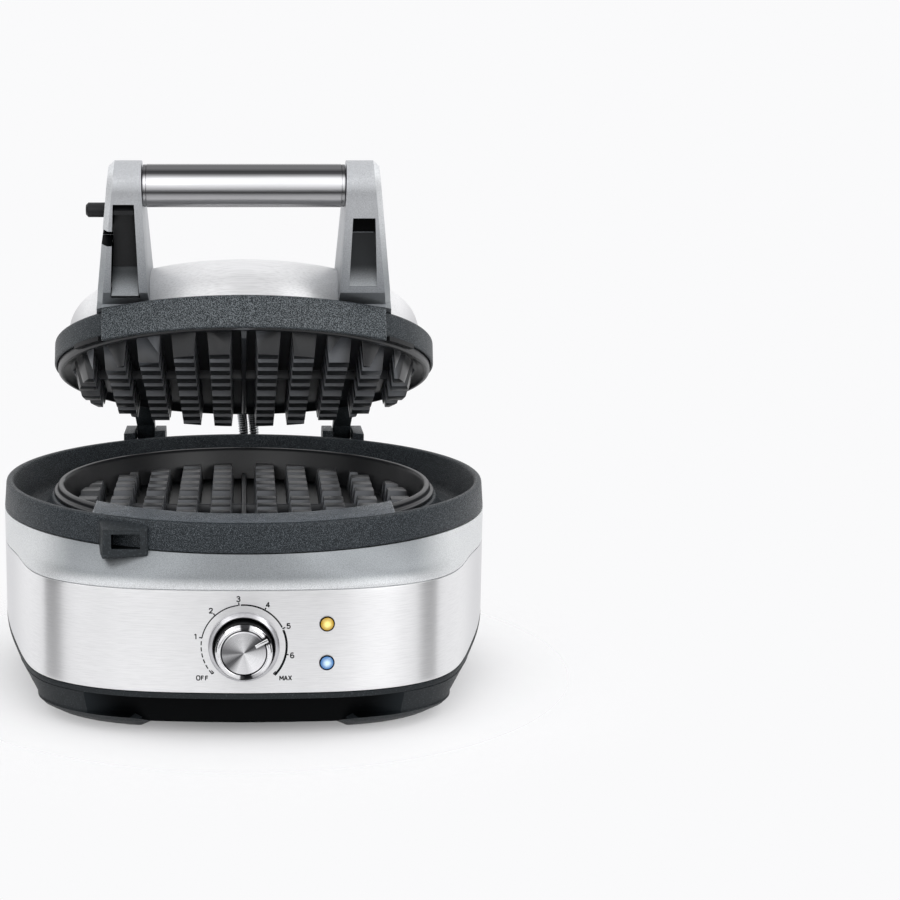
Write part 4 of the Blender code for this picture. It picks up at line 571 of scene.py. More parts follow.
# %% Softened sections
turn_steps = 192
straight = math.radians(172)
least_side = 1e-6
corner_steps = 3


def softened(section, radius, closed=True):
    """Round every corner of a section by a short curve that starts a radius before it."""
    made = []
    for index, corner in enumerate(section):
        here = Vector(corner)
        before = Vector(section[index - 1]) - here
        after = Vector(section[(index + 1) % len(section)]) - here
        at_end = not closed and index in (0, len(section) - 1)
        if at_end or min(before.length, after.length) < least_side or before.angle(after) > straight:
            made.append(tuple(corner))
            continue
        first = before.normalized() * min(radius, before.length * 0.45)
        last = after.normalized() * min(radius, after.length * 0.45)
        for step in range(corner_steps + 1):
            t = step / corner_steps
            made.append(tuple(here + first * (1 - t) ** 2 + last * t ** 2))
    return made


square = [(0.0, 0.0), (1.0, 0.0), (1.0, 1.0), (0.0, 1.0)]
print("a softened square has", len(softened(square, 0.1)), "points")

# %% Meshes, bevels and smooth shading


def shown(name, mesh):
    """A new piece in the scene with the given mesh."""
    piece = bpy.data.objects.new(name, mesh)
    bpy.context.scene.collection.objects.link(piece)
    return piece


def settle(piece, sharp=40.0):
    """Bake the modifiers in and shade smooth, but leave edges above an angle crisp."""
    if piece.modifiers:
        graph = bpy.context.evaluated_depsgraph_get()
        baked = bpy.data.meshes.new_from_object(piece.evaluated_get(graph))
        piece.modifiers.clear()
        piece.data = baked
    for polygon in piece.data.polygons:
        polygon.use_smooth = True
    piece.data.set_sharp_from_angle(angle=math.radians(sharp))
    return piece


def round_edges(piece, width, sharp=40.0, segments=3):
    """Bevel the edges sharper than an angle, then keep the result as plain mesh."""
    if width > 0.0:
        bevel = piece.modifiers.new("edges", "BEVEL")
        bevel.width = width
        bevel.segments = segments
        bevel.limit_method = "ANGLE"
        bevel.angle_limit = math.radians(sharp)
    return settle(piece, sharp)


def piece_from(name, points, faces, place=None, bevel=0.0):
    """A smooth-shaded piece with outward faces, an optional edge bevel and a place."""
    mesh = bpy.data.meshes.new(name)
    mesh.from_pydata(points, [], faces)
    bm = bmesh.new()
    bm.from_mesh(mesh)
    bmesh.ops.remove_doubles(bm, verts=bm.verts, dist=1e-6)
    bmesh.ops.dissolve_degenerate(bm, edges=bm.edges, dist=1e-7)
    bmesh.ops.recalc_face_normals(bm, faces=bm.faces)
    bm.to_mesh(mesh)
    bm.free()
    piece = shown(name, mesh)
    if place is not None:
        piece.matrix_world = place
    return round_edges(piece, bevel)


print("mesh helpers ready")

# %% Pieces turned round an axis
sector_steps = 96


def rings_piece(name, rings, closed=True, around=True, place=None, bevel=0.0):
    """Join rings of equal count. `closed` joins the last ring to the first.

    `around` joins each ring's last point to its first. Without it both ends get a flat face.
    """
    count = len(rings[0])
    points = [point for ring in rings for point in ring]
    faces = []
    for row in range(len(rings) if closed else len(rings) - 1):
        below = row * count
        above = (row + 1) % len(rings) * count
        for step in range(count if around else count - 1):
            after = (step + 1) % count
            faces.append((below + step, below + after, above + after, above + step))
    if not around:
        faces.append([row * count for row in range(len(rings))])
        faces.append([row * count + count - 1 for row in range(len(rings))])
    return piece_from(name, points, faces, place, bevel)


def circle_points(radius, height, angles):
    return [(radius * math.cos(a), radius * math.sin(a), height) for a in angles]


def turned(name, section, place=None, soft=0.0, closed=True, steps=turn_steps):
    """Turn a section of (radius, height) points round Z."""
    section = softened(section, soft, closed) if soft else section
    angles = [2 * math.pi * step / steps for step in range(steps)]
    rings = [circle_points(radius, height, angles) for radius, height in section]
    return rings_piece(name, rings, closed, True, place)


def front_sector(name, section, half_width, soft, place=None, bevel=0.0004):
    """Turn a section through the front only, ending on two upright planes at +-half_width."""
    rings = []
    for radius, height in softened(section, soft):
        reach = math.asin(half_width / radius)
        shares = [2 * step / sector_steps - 1 for step in range(sector_steps + 1)]
        angles = [-math.pi / 2 + reach * share for share in shares]
        rings.append(circle_points(radius, height, angles))
    return rings_piece(name, rings, True, False, place, bevel)


print("a full turn has", turn_steps, "steps")

# %% Handing a piece to the frame
body_of = {}
for body_name, empty in frame["bodies"].items():
    for node_name, node in nodes.items():
        if node.parent == empty:
            body_of[node_name] = body_name


def dress(piece, finish, stands_for=None, slot=None, body=None):
    """Give a piece its finish and hand it to the frame."""
    piece.data.materials.clear()
    piece.data.materials.append(finish)
    if stands_for:
        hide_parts(stands_for)
    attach(piece, body or body_of[slot or stands_for])
    return piece


def second_finish(piece, finish, picked):
    """Give the faces that a test picks another finish, and say how many they are."""
    piece.data.materials.append(finish)
    index = len(piece.data.materials) - 1
    faces = [polygon for polygon in piece.data.polygons if picked(polygon)]
    for polygon in faces:
        polygon.material_index = index
    return len(faces)


# %% [markdown]
# ## The body's plan
#
# Seen from above the body is round, with four soft corners that swell out over the feet. One
# radius function gives the whole plan. The band and the tray use its full bulge, and the shoulder
# fades it out with height until the casting above is truly round.

# %% Plan radius
body_radius = 0.1335
corner_swell = 0.0135
front_swell = 0.0015
corner = math.radians(40.5)
swell_reach = math.radians(30.0)
swell_power = 2.4
fit = 0.0003


def ease(value):
    """0 up to 0, 1 from 1, and a soft ramp between them."""
    value = min(1.0, max(0.0, value))
    return value * value * (3 - 2 * value)


def front_angle(angle):
    """How far a direction points away from straight ahead or straight back."""
    return math.atan2(abs(math.cos(angle)), abs(math.sin(angle)))


def plan_radius(angle, share=1.0):
    """The body's radius in a direction, with a share of the bulge at its corners."""
    away = front_angle(angle) - corner
    spread = corner if away < 0 else swell_reach
    swell = math.cos(math.pi / 2 * min(1.0, abs(away) / spread)) ** swell_power
    return body_radius + share * (corner_swell * swell + front_swell * math.sin(angle) ** 2)


print("plan radius at the front:", round(plan_radius(-math.pi / 2), 4), "m")
print("plan radius over a foot:", round(plan_radius(-math.pi / 2 + corner), 4), "m")

# %% Rings that follow the plan


def plan_ring(radius_at, height_at):
    """One ring of points from a radius and a height that may each follow the angle."""
    ring = []
    for step in range(turn_steps):
        angle = 2 * math.pi * step / turn_steps
        radius = radius_at(angle) if callable(radius_at) else radius_at
        height = height_at(angle) if callable(height_at) else height_at
        ring.append((radius * math.cos(angle), radius * math.sin(angle), height))
    return ring


def inset(distance, share=1.0):
    """The plan's radius, drawn in by a distance."""
    return lambda angle: plan_radius(angle, share) - distance


print("points in a ring:", len(plan_ring(inset(0.0), 0.0)))

# %% [markdown]
# ## Band
#
# The band is one strip of brushed steel bent round the plan and tucked under the shoulder. Its
# lower edge rises at the sides, where two hands lift the appliance. Its edges turn in by a tenth
# of a millimetre or so, which is enough to catch the light.

# %% Band skin
band_low = 0.024
band_top = 0.0765
band_thick = 0.0008
hold_rise = 0.016
hold_start, hold_width = math.radians(60), math.radians(30)
band_shares = (0.04, 0.08, 0.2, 0.4, 0.6, 0.8, 0.92, 0.97)


def hand_hold(angle):
    """1 in the middle of a side, where a hand lifts the appliance, and 0 in front and behind."""
    return ease((front_angle(angle) - hold_start) / hold_width)


def band_edge(angle):
    return band_low + hold_rise * hand_hold(angle)


def above_edge(rise):
    return lambda angle: band_edge(angle) + rise


def up_the_band(share):
    return lambda angle: band_edge(angle) + share * (band_top - band_edge(angle))


outside = [plan_ring(inset(distance), above_edge(rise))
           for distance, rise in ((0.0003, 0.0), (0.0001, 0.0001), (0.0, 0.0004))]
outside += [plan_ring(plan_radius, up_the_band(share)) for share in band_shares]
outside += [plan_ring(inset(0.0001), band_top - 0.0002), plan_ring(inset(0.0003), band_top)]
inside = [plan_ring(inset(band_thick), height) for height in (band_top, band_edge)]
band = dress(rings_piece("band_skin", outside + inside), band_steel, "body_band")
print("band faces:", len(band.data.polygons))

# %% [markdown]
# ## Shoulder
#
# The shoulder is drawn: five levels fix how far it has turned from the soft square to the circle,
# and a smooth curve through them gives the surface in between. It starts with a small rolled
# foot, and a painted highlight along the foot gives the bright line that runs just above the seam.

# %% Shoulder skin
shoulder_low, shoulder_high = band_top + fit, 0.095 - fit
shoulder_steps = 18
skirt_low = 0.0715
levels = [0.0, 0.22, 0.45, 0.70, 1.0]
bulges = [1.0, 0.93, 0.74, 0.42, 0.0]
slopes = [(bulges[i + 1] - bulges[i - 1]) / (levels[i + 1] - levels[i - 1]) for i in (1, 2, 3)]
slopes = [0.0, *slopes, -1.5]


def bulge_at(share):
    """Smooth curve through the five levels, by the slopes at their middles."""
    index = min(3, max(i for i, level in enumerate(levels[:-1]) if level <= share + 1e-9))
    span = levels[index + 1] - levels[index]
    t = (share - levels[index]) / span
    first = bulges[index] * (2 * t ** 3 - 3 * t ** 2 + 1) + slopes[index] * span * (t ** 3 - 2 * t ** 2 + t)
    second = bulges[index + 1] * (3 * t ** 2 - 2 * t ** 3) + slopes[index + 1] * span * (t ** 3 - t ** 2)
    return first + second


def shoulder_ring(share, thick=0.0):
    """One level of the shoulder's skin, from its foot at 0 to the ring at 1."""
    return plan_ring(inset(thick, bulge_at(share)), shoulder_low + share * (shoulder_high - shoulder_low))


outer = [plan_ring(inset(0.0009), shoulder_low), plan_ring(inset(0.0002), shoulder_low + 0.0003)]
outer += [shoulder_ring(step / shoulder_steps) for step in range(1, shoulder_steps + 1)]
inner = [shoulder_ring(share, 0.002 + 0.0012 * bulge_at(share)) for share in (1.0, 0.7, 0.45, 0.22, 0.05)]
skirt = [plan_ring(inset(0.0031), skirt_low), plan_ring(inset(0.0011), skirt_low)]
skirt += [plan_ring(inset(0.0011), shoulder_low)]
dress(rings_piece("shoulder_skin", outer + inner + skirt), shoulder_painted_light, "shoulder_collar")
print("shoulder rings:", len(outer) + len(inner) + len(skirt))

# %% [markdown]
# ## Tray
#
# Under the band sits a moulded tray: a thin lip, walls that lean in toward the floor beside the
# feet, hollows between the feet and at the hand-holds, and a foot at each corner with a rubber
# pad. It is the same kind of ring model, with each ring's radius and height following the angle.

# %% Where the tray draws in
panel_depth, panel_half, panel_fade = 0.006, math.radians(27), math.radians(8)
hold_depth = 0.007
lean_in, lean_start, lean_width = 0.0105, math.radians(46), math.radians(20)
foot_outward, foot_inward = (11, 8), (16, 4)


def foot_share(angle):
    """1 over a foot and 0 away from it. A foot reaches further toward the middle, and ends sharper."""
    away = front_angle(angle) - corner
    reach, fade = foot_outward if away > 0 else foot_inward
    return 1 - ease((abs(away) - math.radians(reach)) / math.radians(fade))


def recess_at(angle):
    """How deep the wall is set back, between the feet in front and behind and at the hand-holds."""
    panel = 1 - ease((front_angle(angle) - panel_half) / panel_fade)
    return panel_depth * panel + hold_depth * hand_hold(angle)


def lean(angle):
    """How far the walls beside the feet have drawn in at their lower edge."""
    return lean_in * ease((front_angle(angle) - lean_start) / lean_width)


def wall(distance, leaning=0.0):
    return lambda angle: plan_radius(angle) - distance - recess_at(angle) - leaning * lean(angle)


def foot_wall(distance):
    """The wall near its lower edge, where the feet stand out of the recess."""
    def reach(angle):
        recess = recess_at(angle) * (1 - foot_share(angle))
        return plan_radius(angle) - recess - distance - lean(angle)
    return reach


def foot_height(over, between):
    """One height over the feet and another between them."""
    return lambda angle: over * foot_share(angle) + between * (1 - foot_share(angle))


panel_low = foot_height(0.0085, 0.0060)
underside = foot_height(0.0012, 0.0045)


def towards_floor(share, rise=0.0):
    """A height on the way from the wall's lower edge to the underside."""
    return lambda angle: panel_low(angle) * (1 - share) + underside(angle) * share + rise


print("the wall beside a foot leans in by", round(lean(0.0) * 1000, 1), "mm")

# %% Painted shade between the feet


def painted_shade_finish(name):
    """Painted shade between the front feet: black that fades into the tray's charcoal toward them."""
    panel = Finish(name)
    grain = panel.noise(0.0006)
    side = abs(panel.part("X")).rise(0.060, 0.088)
    # painted shade: black in the middle, fading into charcoal toward the feet
    tone = panel.mix(shade(4, 5, 6), shade(32, 36, 39), side)
    panel.set(base_color=tone, metallic=0.0, specular_ior_level=0.04)
    panel.set(roughness=0.40 + 0.08 * grain)
    return panel.material


panel_painted_shade = painted_shade_finish("panel_painted_shade")
print("finish made:", panel_painted_shade.name)

# %% Tray skin
flange, flange_rise = 0.0011, 0.006
foot_draw = 0.0032
lip_low = 0.003
wall_thick = 0.0035
underside_edge, floor_edge = 0.104, 0.096
outer_floor, inner_floor = 0.0045, 0.0069
middle_hole = 0.030
# where the painted shade lies on the tray
shade_half, shade_middle = math.radians(34), math.radians(20)
shade_low, shade_top = 0.0006, 0.0034
lip = [(flange, 0.0), (0.0005, 0.0), (0.0001, 0.0002), (0.0, 0.0008), (0.0, 0.0022), (0.0002, 0.0028),
       (0.0008, lip_low)]


def below_edge(drop):
    return lambda angle: band_edge(angle) - fit - drop


rings = [plan_ring(inset(flange), above_edge(flange_rise))]
rings += [plan_ring(inset(distance), below_edge(drop)) for distance, drop in lip]
rings += [
    plan_ring(wall(0.0), below_edge(lip_low)),
    plan_ring(lambda angle: wall(foot_draw * foot_share(angle), 1.0)(angle), towards_floor(0.0, 0.0009)),
    plan_ring(foot_wall(foot_draw * 0.8), towards_floor(0.0, 0.0004)),
    plan_ring(foot_wall(foot_draw), panel_low),
    plan_ring(foot_wall(foot_draw * 1.5), towards_floor(0.25)),
    plan_ring(foot_wall(foot_draw * 2.5), towards_floor(0.5)),
    plan_ring(foot_wall(foot_draw * 4.0), towards_floor(0.88)),
    plan_ring(foot_wall(foot_draw * 5.0), underside),
    plan_ring(lambda angle: underside_edge - lean(angle), underside),
    plan_ring(lambda angle: floor_edge - lean(angle), outer_floor),
    plan_ring(middle_hole, outer_floor),
    plan_ring(middle_hole, inner_floor),
    plan_ring(wall(0.0229, 1.0), inner_floor),
    plan_ring(wall(0.008, 0.8), inner_floor + 0.004),
    plan_ring(wall(wall_thick), above_edge(-lip_low)),
    plan_ring(inset(wall_thick), above_edge(flange_rise)),
]


def in_painted_shade(polygon):
    """Whether a face gets painted shade: in the recess between the feet, or right under its lip."""
    middle = polygon.center
    angle = math.atan2(middle.y, middle.x)
    outward = polygon.normal.x * middle.x + polygon.normal.y * middle.y > 0
    recessed = front_angle(angle) < shade_half and middle.z > panel_low(angle) + shade_low
    under_lip = middle.z < band_edge(angle) - shade_top
    return outward and under_lip and (recessed or front_angle(angle) < shade_middle)


tray = dress(rings_piece("tray_skin", rings), charcoal["tray"], "base_tray")
print("tray rings:", len(rings), "black faces:", second_finish(tray, panel_painted_shade, in_painted_shade))

# %% [markdown]
# ## Bowl ring and ledge
#
# The cast ring stands on the shoulder. Its section has a rounded rim, the moat that catches
# spilled batter, and the bore for the lower plate. A flat ledge fills the front for the lid's
# chin to shut onto. Its upward faces get a paler paint of their own: a painted highlight where
# light falls on the ledge's top.

# %% Bowl ring skins
ring_section = [(0.1294, 0.110), (0.1314, 0.110), (0.1324, 0.109), (0.1335, 0.095), (0.129, 0.095),
                (0.1284, 0.106), (0.1245, 0.0945), (0.122, 0.0895), (0.1048, 0.0895), (0.1048, 0.1005),
                (0.1073, 0.1005), (0.110, 0.0945), (0.1125, 0.092), (0.1195, 0.092), (0.122, 0.0945),
                (0.1284, 0.109)]
ledge_section = [(0.1065, 0.1099), (0.1304, 0.1099), (0.1304, 0.106), (0.12325, 0.09075), (0.1065, 0.09075)]
ledge_reach = 0.077
ring = turned("ring_skin", ring_section, soft=0.0011)
ledge = front_sector("ledge_skin", ledge_section, ledge_reach, 0.0008)
print("ring faces:", len(ring.data.polygons), "and ledge faces:", len(ledge.data.polygons))

# %% [markdown]
# ## Latch receiver
#
# A slant-sided housing in front of the ledge takes the latch's hook, through a pocket with a thin
# frame round it. Both are convex, so each is the tightest solid round a few corners, and one cut
# opens the pocket through them.

# %% Solids from a few corners


def hull_piece(name, points):
    """The tightest convex solid round some points."""
    bm = bmesh.new()
    made = [bm.verts.new(point) for point in points]
    bmesh.ops.convex_hull(bm, input=made)
    bmesh.ops.dissolve_limit(bm, angle_limit=math.radians(1), verts=bm.verts, edges=bm.edges)
    mesh = bpy.data.meshes.new(name)
    bm.to_mesh(mesh)
    bm.free()
    return shown(name, mesh)


def box_piece(name, low, high):
    corners = [(x, y, z) for x in (low[0], high[0]) for y in (low[1], high[1]) for z in (low[2], high[2])]
    return hull_piece(name, corners)


def cut(piece, tool, operation="DIFFERENCE"):
    """Combine two solids, then throw the tool away."""
    change = piece.modifiers.new("cut", "BOOLEAN")
    change.operation = operation
    change.solver = "EXACT"
    change.object = tool
    settle(piece)
    bpy.data.objects.remove(tool, do_unlink=True)
    return piece


print("solid helpers ready")

# %% Housing and frame with their pocket
housing_front, housing_back = -0.1262, -0.1056
frame_front = -0.1268
housing_low, housing_top = 0.0915, 0.108
pocket_low = Vector((-0.06605, -0.131, 0.09585))
pocket_high = Vector((-0.05155, -0.1155, 0.10335))
pocket_depth = -0.1255
corners = [(-0.0706, housing_front, 0.0908), (-0.0478, housing_front, 0.0922),
           (-0.0702, housing_front, 0.10555), (-0.0482, housing_front, 0.10555),
           (-0.0702, -0.1111, housing_top), (-0.0475, -0.1225, housing_top),
           (-0.0742, housing_back, housing_top), (-0.0742, housing_back, housing_low),
           (-0.0435, housing_back, housing_top), (-0.0435, housing_back, housing_low)]
frame_corners = [(x, y, z) for y in (housing_front, frame_front)
                 for x, z in ((-0.0700, 0.1049), (-0.0492, 0.1049), (-0.0484, 0.0926), (-0.0704, 0.0916))]


def in_pocket(polygon, spare=0.00015):
    """Whether a face lies inside the pocket, behind its rounded rim."""
    x, y, z = polygon.center
    across = pocket_low.x - spare < x < pocket_high.x + spare
    return across and pocket_low.z - spare < z < pocket_high.z + spare and y > pocket_depth


def opened(piece, width):
    """Cut the hook's pocket through a piece, round its edges and paint the pocket black as shade."""
    cut(piece, box_piece("pocket", pocket_low, pocket_high))
    round_edges(piece, width, 30)
    dress(piece, charcoal["housing"], slot="bowl_ring", body="base")
    # painted shade: the pocket's faces are black
    second_finish(piece, black_and_painted_shade, in_pocket)
    return piece


receiver = opened(hull_piece("receiver_skin", corners), 0.0004)
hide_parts("bowl_ring")
opened(hull_piece("receiver_frame", frame_corners), 0.00015)
for piece in (ring, ledge):
    dress(piece, charcoal["ring"], "bowl_ring")
# painted highlight: the ledge's upward faces get the paler charcoal
second_finish(ledge, charcoal["ledge"], lambda polygon: polygon.normal.z > 0.5)
print("receiver faces:", len(receiver.data.polygons))

# %% [markdown]
# ## Lid: dome, rim and chin
#
# The lid is drawn shut, then its matrix swings every piece of it back about the hinge line. The
# dome is a rounded drum, drawn from sheet. The rim under it is cast, and its front carries a
# deeper chin that covers the seam with the bowl.

# %% Lid skins
dome_radius, dome_height, dome_foot = 0.0985, 0.0342, 0.1303
dome_thick = 0.001
dome_steps = 48
dome_curve = 2 / 3
chin_reach = 0.0736


def dome_line(radius, height):
    """Half of the dome's section, fuller at its shoulder than an ellipse."""
    angles = [math.pi / 2 * step / dome_steps for step in range(dome_steps + 1)]
    return [(radius * math.sin(angle) ** dome_curve, dome_foot + height * math.cos(angle) ** dome_curve)
            for angle in angles]


dome_section = dome_line(dome_radius, dome_height)
dome_section += dome_line(dome_radius - dome_thick, dome_height - dome_thick)[::-1]
dome = dress(turned("dome_skin", dome_section, lid_place, closed=False), dome_steel, "lid_dome")

rim_section = [(0.0953, 0.132), (0.0969, 0.132), (0.0969, 0.130), (0.105, 0.130), (0.106, 0.129),
               (0.106, 0.117), (0.1055, 0.1165), (0.1044, 0.1165), (0.1044, 0.127), (0.0953, 0.127)]
rim = dress(turned("rim_skin", rim_section, lid_place, soft=0.0010), charcoal["rim"], "lid_rim")
chin_section = [(0.1050, 0.1290), (0.1150, 0.128), (0.116, 0.127), (0.116, 0.1115), (0.1155, 0.111),
                (0.1125, 0.111), (0.1125, 0.1245), (0.1050, 0.1255)]
chin = front_sector("chin_skin", chin_section, chin_reach, 0.0012, lid_place, bevel=0.0006)
dress(chin, charcoal["chin"], "lid_rim")
print("faces of dome, rim and chin:", [len(piece.data.polygons) for piece in (dome, rim, chin)])

# %% [markdown]
# ## Waffle plates
#
# Each plate is a dished disc with rows of square teeth, cast in one with it. The rows are clipped
# to a circle by one cut, as the real pattern is, so the outer teeth lose their corners. Then the
# cast edges are rounded. Two low ribs cross the grid and mark the four parts to break it into.

# %% Teeth
tooth_pitch = 0.0186
first_tooth = 0.0126
tooth_foot, tooth_tip = 0.0132, 0.0105
grid_radius = 0.0955
grid_lean = 0.30
sunk = 0.001
cast_angle = 35
tooth_round, rib_round = 0.0006, 0.0007
tooth_places = [first_tooth + tooth_pitch * index for index in range(5)]
tooth_places = [-place for place in tooth_places[::-1]] + tooth_places
box_faces = [(0, 3, 2, 1), (4, 5, 6, 7), (0, 1, 5, 4), (1, 2, 6, 5), (2, 3, 7, 6), (3, 0, 4, 7)]


def frustum(low_half, high_half, low, high, x, y):
    """The eight corners of a square tooth that narrows to its tip."""
    signs = ((-1, -1), (1, -1), (1, 1), (-1, 1))
    return [(x + half * sx, y + half * sy, height)
            for half, height in ((low_half, low), (high_half, high)) for sx, sy in signs]


def plate_teeth(name, base, up, height):
    """Every tooth of a plate, sunk a little into it, clipped to the grid's circle."""
    points, faces = [], []
    flare = (tooth_foot - tooth_tip) / height * sunk
    foot_half, tip_half = (tooth_foot + flare) / 2, tooth_tip / 2
    for x in tooth_places:
        for y in tooth_places:
            if math.hypot(abs(x) - tooth_foot / 2, abs(y) - tooth_foot / 2) < grid_radius:
                start = len(points)
                points += frustum(foot_half, tip_half, base - up * sunk, base + up * height, x, y)
                faces += [tuple(start + i for i in face) for face in box_faces]
    teeth = piece_from(name, points, faces)
    below, over = base - up * sunk * 2, base + up * (height + sunk)
    drawn_in = grid_radius - height * grid_lean
    limit = [(0.0, below), (grid_radius, below), (grid_radius, base), (drawn_in, over), (0.0, over)]
    cut(teeth, turned("grid_limit", limit, closed=False, steps=96), "INTERSECT")
    return round_edges(teeth, tooth_round, cast_angle)


print("tooth rows each way:", len(tooth_places))

# %% Plates and ribs
rib_reach, rib_height = 0.0968, 0.005
rib_foot, rib_tip, rib_taper = 0.0018, 0.0012, 0.0036
plate_rim, plate_thick = 0.104, 0.003
collar_low, collar_high = 0.0035, 0.0022


def plate_rib(name, base, up, turn):
    """A low rib right across the grid, with its ends drawn in."""
    points = [(x, y, base - up * sunk) for x in (-rib_reach, rib_reach) for y in (-rib_foot, rib_foot)]
    tip = rib_reach - rib_taper
    points += [(x, y, base + up * rib_height) for x in (-tip, tip) for y in (-rib_tip, rib_tip)]
    rib = hull_piece(name, points)
    rib.data.transform(Matrix.Rotation(turn, 4, "Z"))
    return round_edges(rib, rib_round, cast_angle, 2)


def plate_section(base, up, edge, flange):
    """Half of a plate's section: the dish, its raised rim and the collar that it hangs by."""
    back = base - up * plate_thick
    seat = edge - up * collar_low
    under = seat - up * collar_high
    section = [(0.0, base), (0.0965, base), (0.1005, edge - up * sunk), (0.1015, edge), (0.103, edge),
               (plate_rim, edge - up * sunk), (plate_rim, seat)]
    if flange:
        section += [(flange, seat), (flange, under)]
    return section + [(plate_rim, under), (0.0995, back), (0.0, back)]


def plate(name, base, up, edge, tooth_height, flange=None, place=None):
    """A plate with its teeth and both ribs. `up` is 1 where they point up and -1 where down."""
    dish = turned(name + "_skin", plate_section(base, up, edge, flange), soft=0.0011, closed=False)
    made = [dish, plate_teeth(name + "_teeth", base, up, tooth_height)]
    for way, turn in (("across", 0), ("along", math.pi / 2)):
        made.append(plate_rib(name + "_rib_" + way, base, up, turn))
    for piece in made:
        if place is not None:
            piece.matrix_world = place
        dress(piece, plate_coat, name + "_plate")
    return made


lower = plate("lower", base=0.0875, up=1, edge=0.1065, tooth_height=0.011, flange=0.1062)
upper = plate("upper", base=0.1157, up=-1, edge=0.1125, tooth_height=0.013, place=lid_place)
print("tooth faces:", len(lower[1].data.polygons), "and", len(upper[1].data.polygons))

# %% [markdown]
# ## Castings and latch
#
# The handle's arms, the hinge and the latch keep their packed shape. Their copies have every
# edge rounded by a few tenths of a millimetre, as a casting or moulding has. The packed solids
# are made of triangles, so flat faces are joined first, or the bevel would find edges in them.

# %% Rounded copies of the frame's own solids
copy_angle = 28.0


def rounded_copy(node, finish, width):
    """Join the flat faces of a packed solid, round its edges and give it a finish."""
    bm = bmesh.new()
    bm.from_mesh(nodes[node].data)
    bmesh.ops.remove_doubles(bm, verts=bm.verts, dist=2e-6)
    bmesh.ops.dissolve_limit(bm, angle_limit=math.radians(2), verts=bm.verts, edges=bm.edges)
    mesh = bpy.data.meshes.new(node + "_skin")
    bm.to_mesh(mesh)
    bm.free()
    return dress(round_edges(shown(node + "_skin", mesh), width, copy_angle), finish, node)


copies = {
    "handle_arm_left": (arm_silver_painted_light, 0.0008), "handle_arm_right": (arm_silver_painted_light, 0.0008),
    "hinge_bracket_left": (charcoal["ring"], 0.0005), "hinge_bracket_right": (charcoal["ring"], 0.0005),
    "hinge_arm_left": (charcoal["rim"], 0.0006), "hinge_arm_right": (charcoal["rim"], 0.0006),
    "latch_hook": (black_latch, 0.0003), "latch_scoop": (black_latch, 0.0003),
    "latch_knob": (black_latch, 0.0004), "conduit_gland": (black_and_painted_shade, 0.0008),
    "conduit_boot": (black_and_painted_shade, 0.0005), "terminal_block": (cream_ceramic, 0.0004),
    "cord_gland": (black_rubber, 0.0005),
}
skins = {node: rounded_copy(node, finish, width) for node, (finish, width) in copies.items()}
print("rounded copies:", len(skins))

# %% [markdown]
# ## Inside the arms' windows
#
# The handle's arms have deep windows. Little light reaches into them, so their insides are painted
# black as shade. Only the lower end of the right one looks up at the light: it gets a painted
# gradient from nearly black to pale at its lip. Faces are picked by where they lie along the arm and
# how deep they are. The slanted faces beside the windows look up too, and get a paler silver as a
# painted highlight.

# %% Where a face lies on an arm
arm_foot = Vector((-0.104, 0.132))
arm_slope = math.radians(135.5)
arm_along = Vector((math.cos(arm_slope), math.sin(arm_slope)))
arm_out = Vector((-arm_along.y, arm_along.x))
arm_lip = (lid_place @ Vector((0, *arm_foot))).z


def along_and_deep(point):
    """A point on the open lid, as distance along the arm's front face and depth behind it."""
    shut = lid_place.inverted() @ point
    away = Vector((shut.y, shut.z)) - arm_foot
    return away.dot(arm_along), -away.dot(arm_out)


def lies_in(polygon, limits):
    """Whether a face lies in a box, given by its limits across, along and behind the arm."""
    along, deep = along_and_deep(polygon.center)
    spot = (abs(polygon.center.x), along, deep)
    return all(low < value < high for value, (low, high) in zip(spot, limits))


print("an arm's lower lip stands", round(arm_lip, 4), "m up")

# %% Finishes inside the windows
window = ((0.0533, 0.0684), (-0.001, 0.0505), (0.0006, 0.0172))
notch = ((0.0640, 0.0720), (0.0262, 0.0452), (0.0045, 0.0170))
notch_lip, small_face = 0.0275, 3e-6
ramp_top = 0.0305
# painted light: a pale-to-black ramp, a painted highlight on slanted faces, painted shade on the scoop
ramp_painted_light = silver_painted_light("ramp_painted_light", shade(168, 172, 175), shade(26, 29, 32),
                            arm_lip, arm_lip + 0.015)
edge_painted_highlight = silver_painted_light("edge_painted_highlight", shade(150, 154, 157), shade(222, 224, 226), 0.222, 0.266, 0.6)
scoop_painted_shade = silver_painted_light("scoop_painted_shade", shade(146, 150, 153), shade(50, 54, 57),
                             arm_lip - 0.001, arm_lip + 0.011)


def is_slanted(polygon):
    return 0.5 < abs(polygon.normal.x) < 0.9


def in_notch(polygon):
    """Whether a face lies in the left arm's open side, but not on its small lip."""
    on_lip = along_and_deep(polygon.center)[0] < notch_lip and polygon.area < small_face
    return lies_in(polygon, notch) and not on_lip


def hollow(polygon, side):
    """Whether a face is inside an arm's window, or in the left arm's open side."""
    opening = lies_in(polygon, window) or side == "left" and in_notch(polygon)
    return opening and not is_slanted(polygon)


def on_ramp(polygon, side):
    """Whether a face is the lower end of the right arm's window, which gets painted light."""
    low_down = along_and_deep(polygon.center)[0] < ramp_top
    return side == "right" and low_down and hollow(polygon, side)


for side in ("left", "right"):
    arm = skins["handle_arm_" + side]
    # painted light on the ramp, painted shade in the window, painted highlight on the slanted faces
    counts = [second_finish(arm, ramp_painted_light, lambda face: on_ramp(face, side)),
              second_finish(arm, black_and_painted_shade, lambda face: hollow(face, side) and not on_ramp(face, side)),
              second_finish(arm, edge_painted_highlight, is_slanted)]
    print(side, "arm's ramp, window and slanted faces:", counts)
# the latch's grey scoop, with painted shade that grows darker up toward the window
skins["latch_scoop"].data.materials.clear()
skins["latch_scoop"].data.materials.append(scoop_painted_shade)

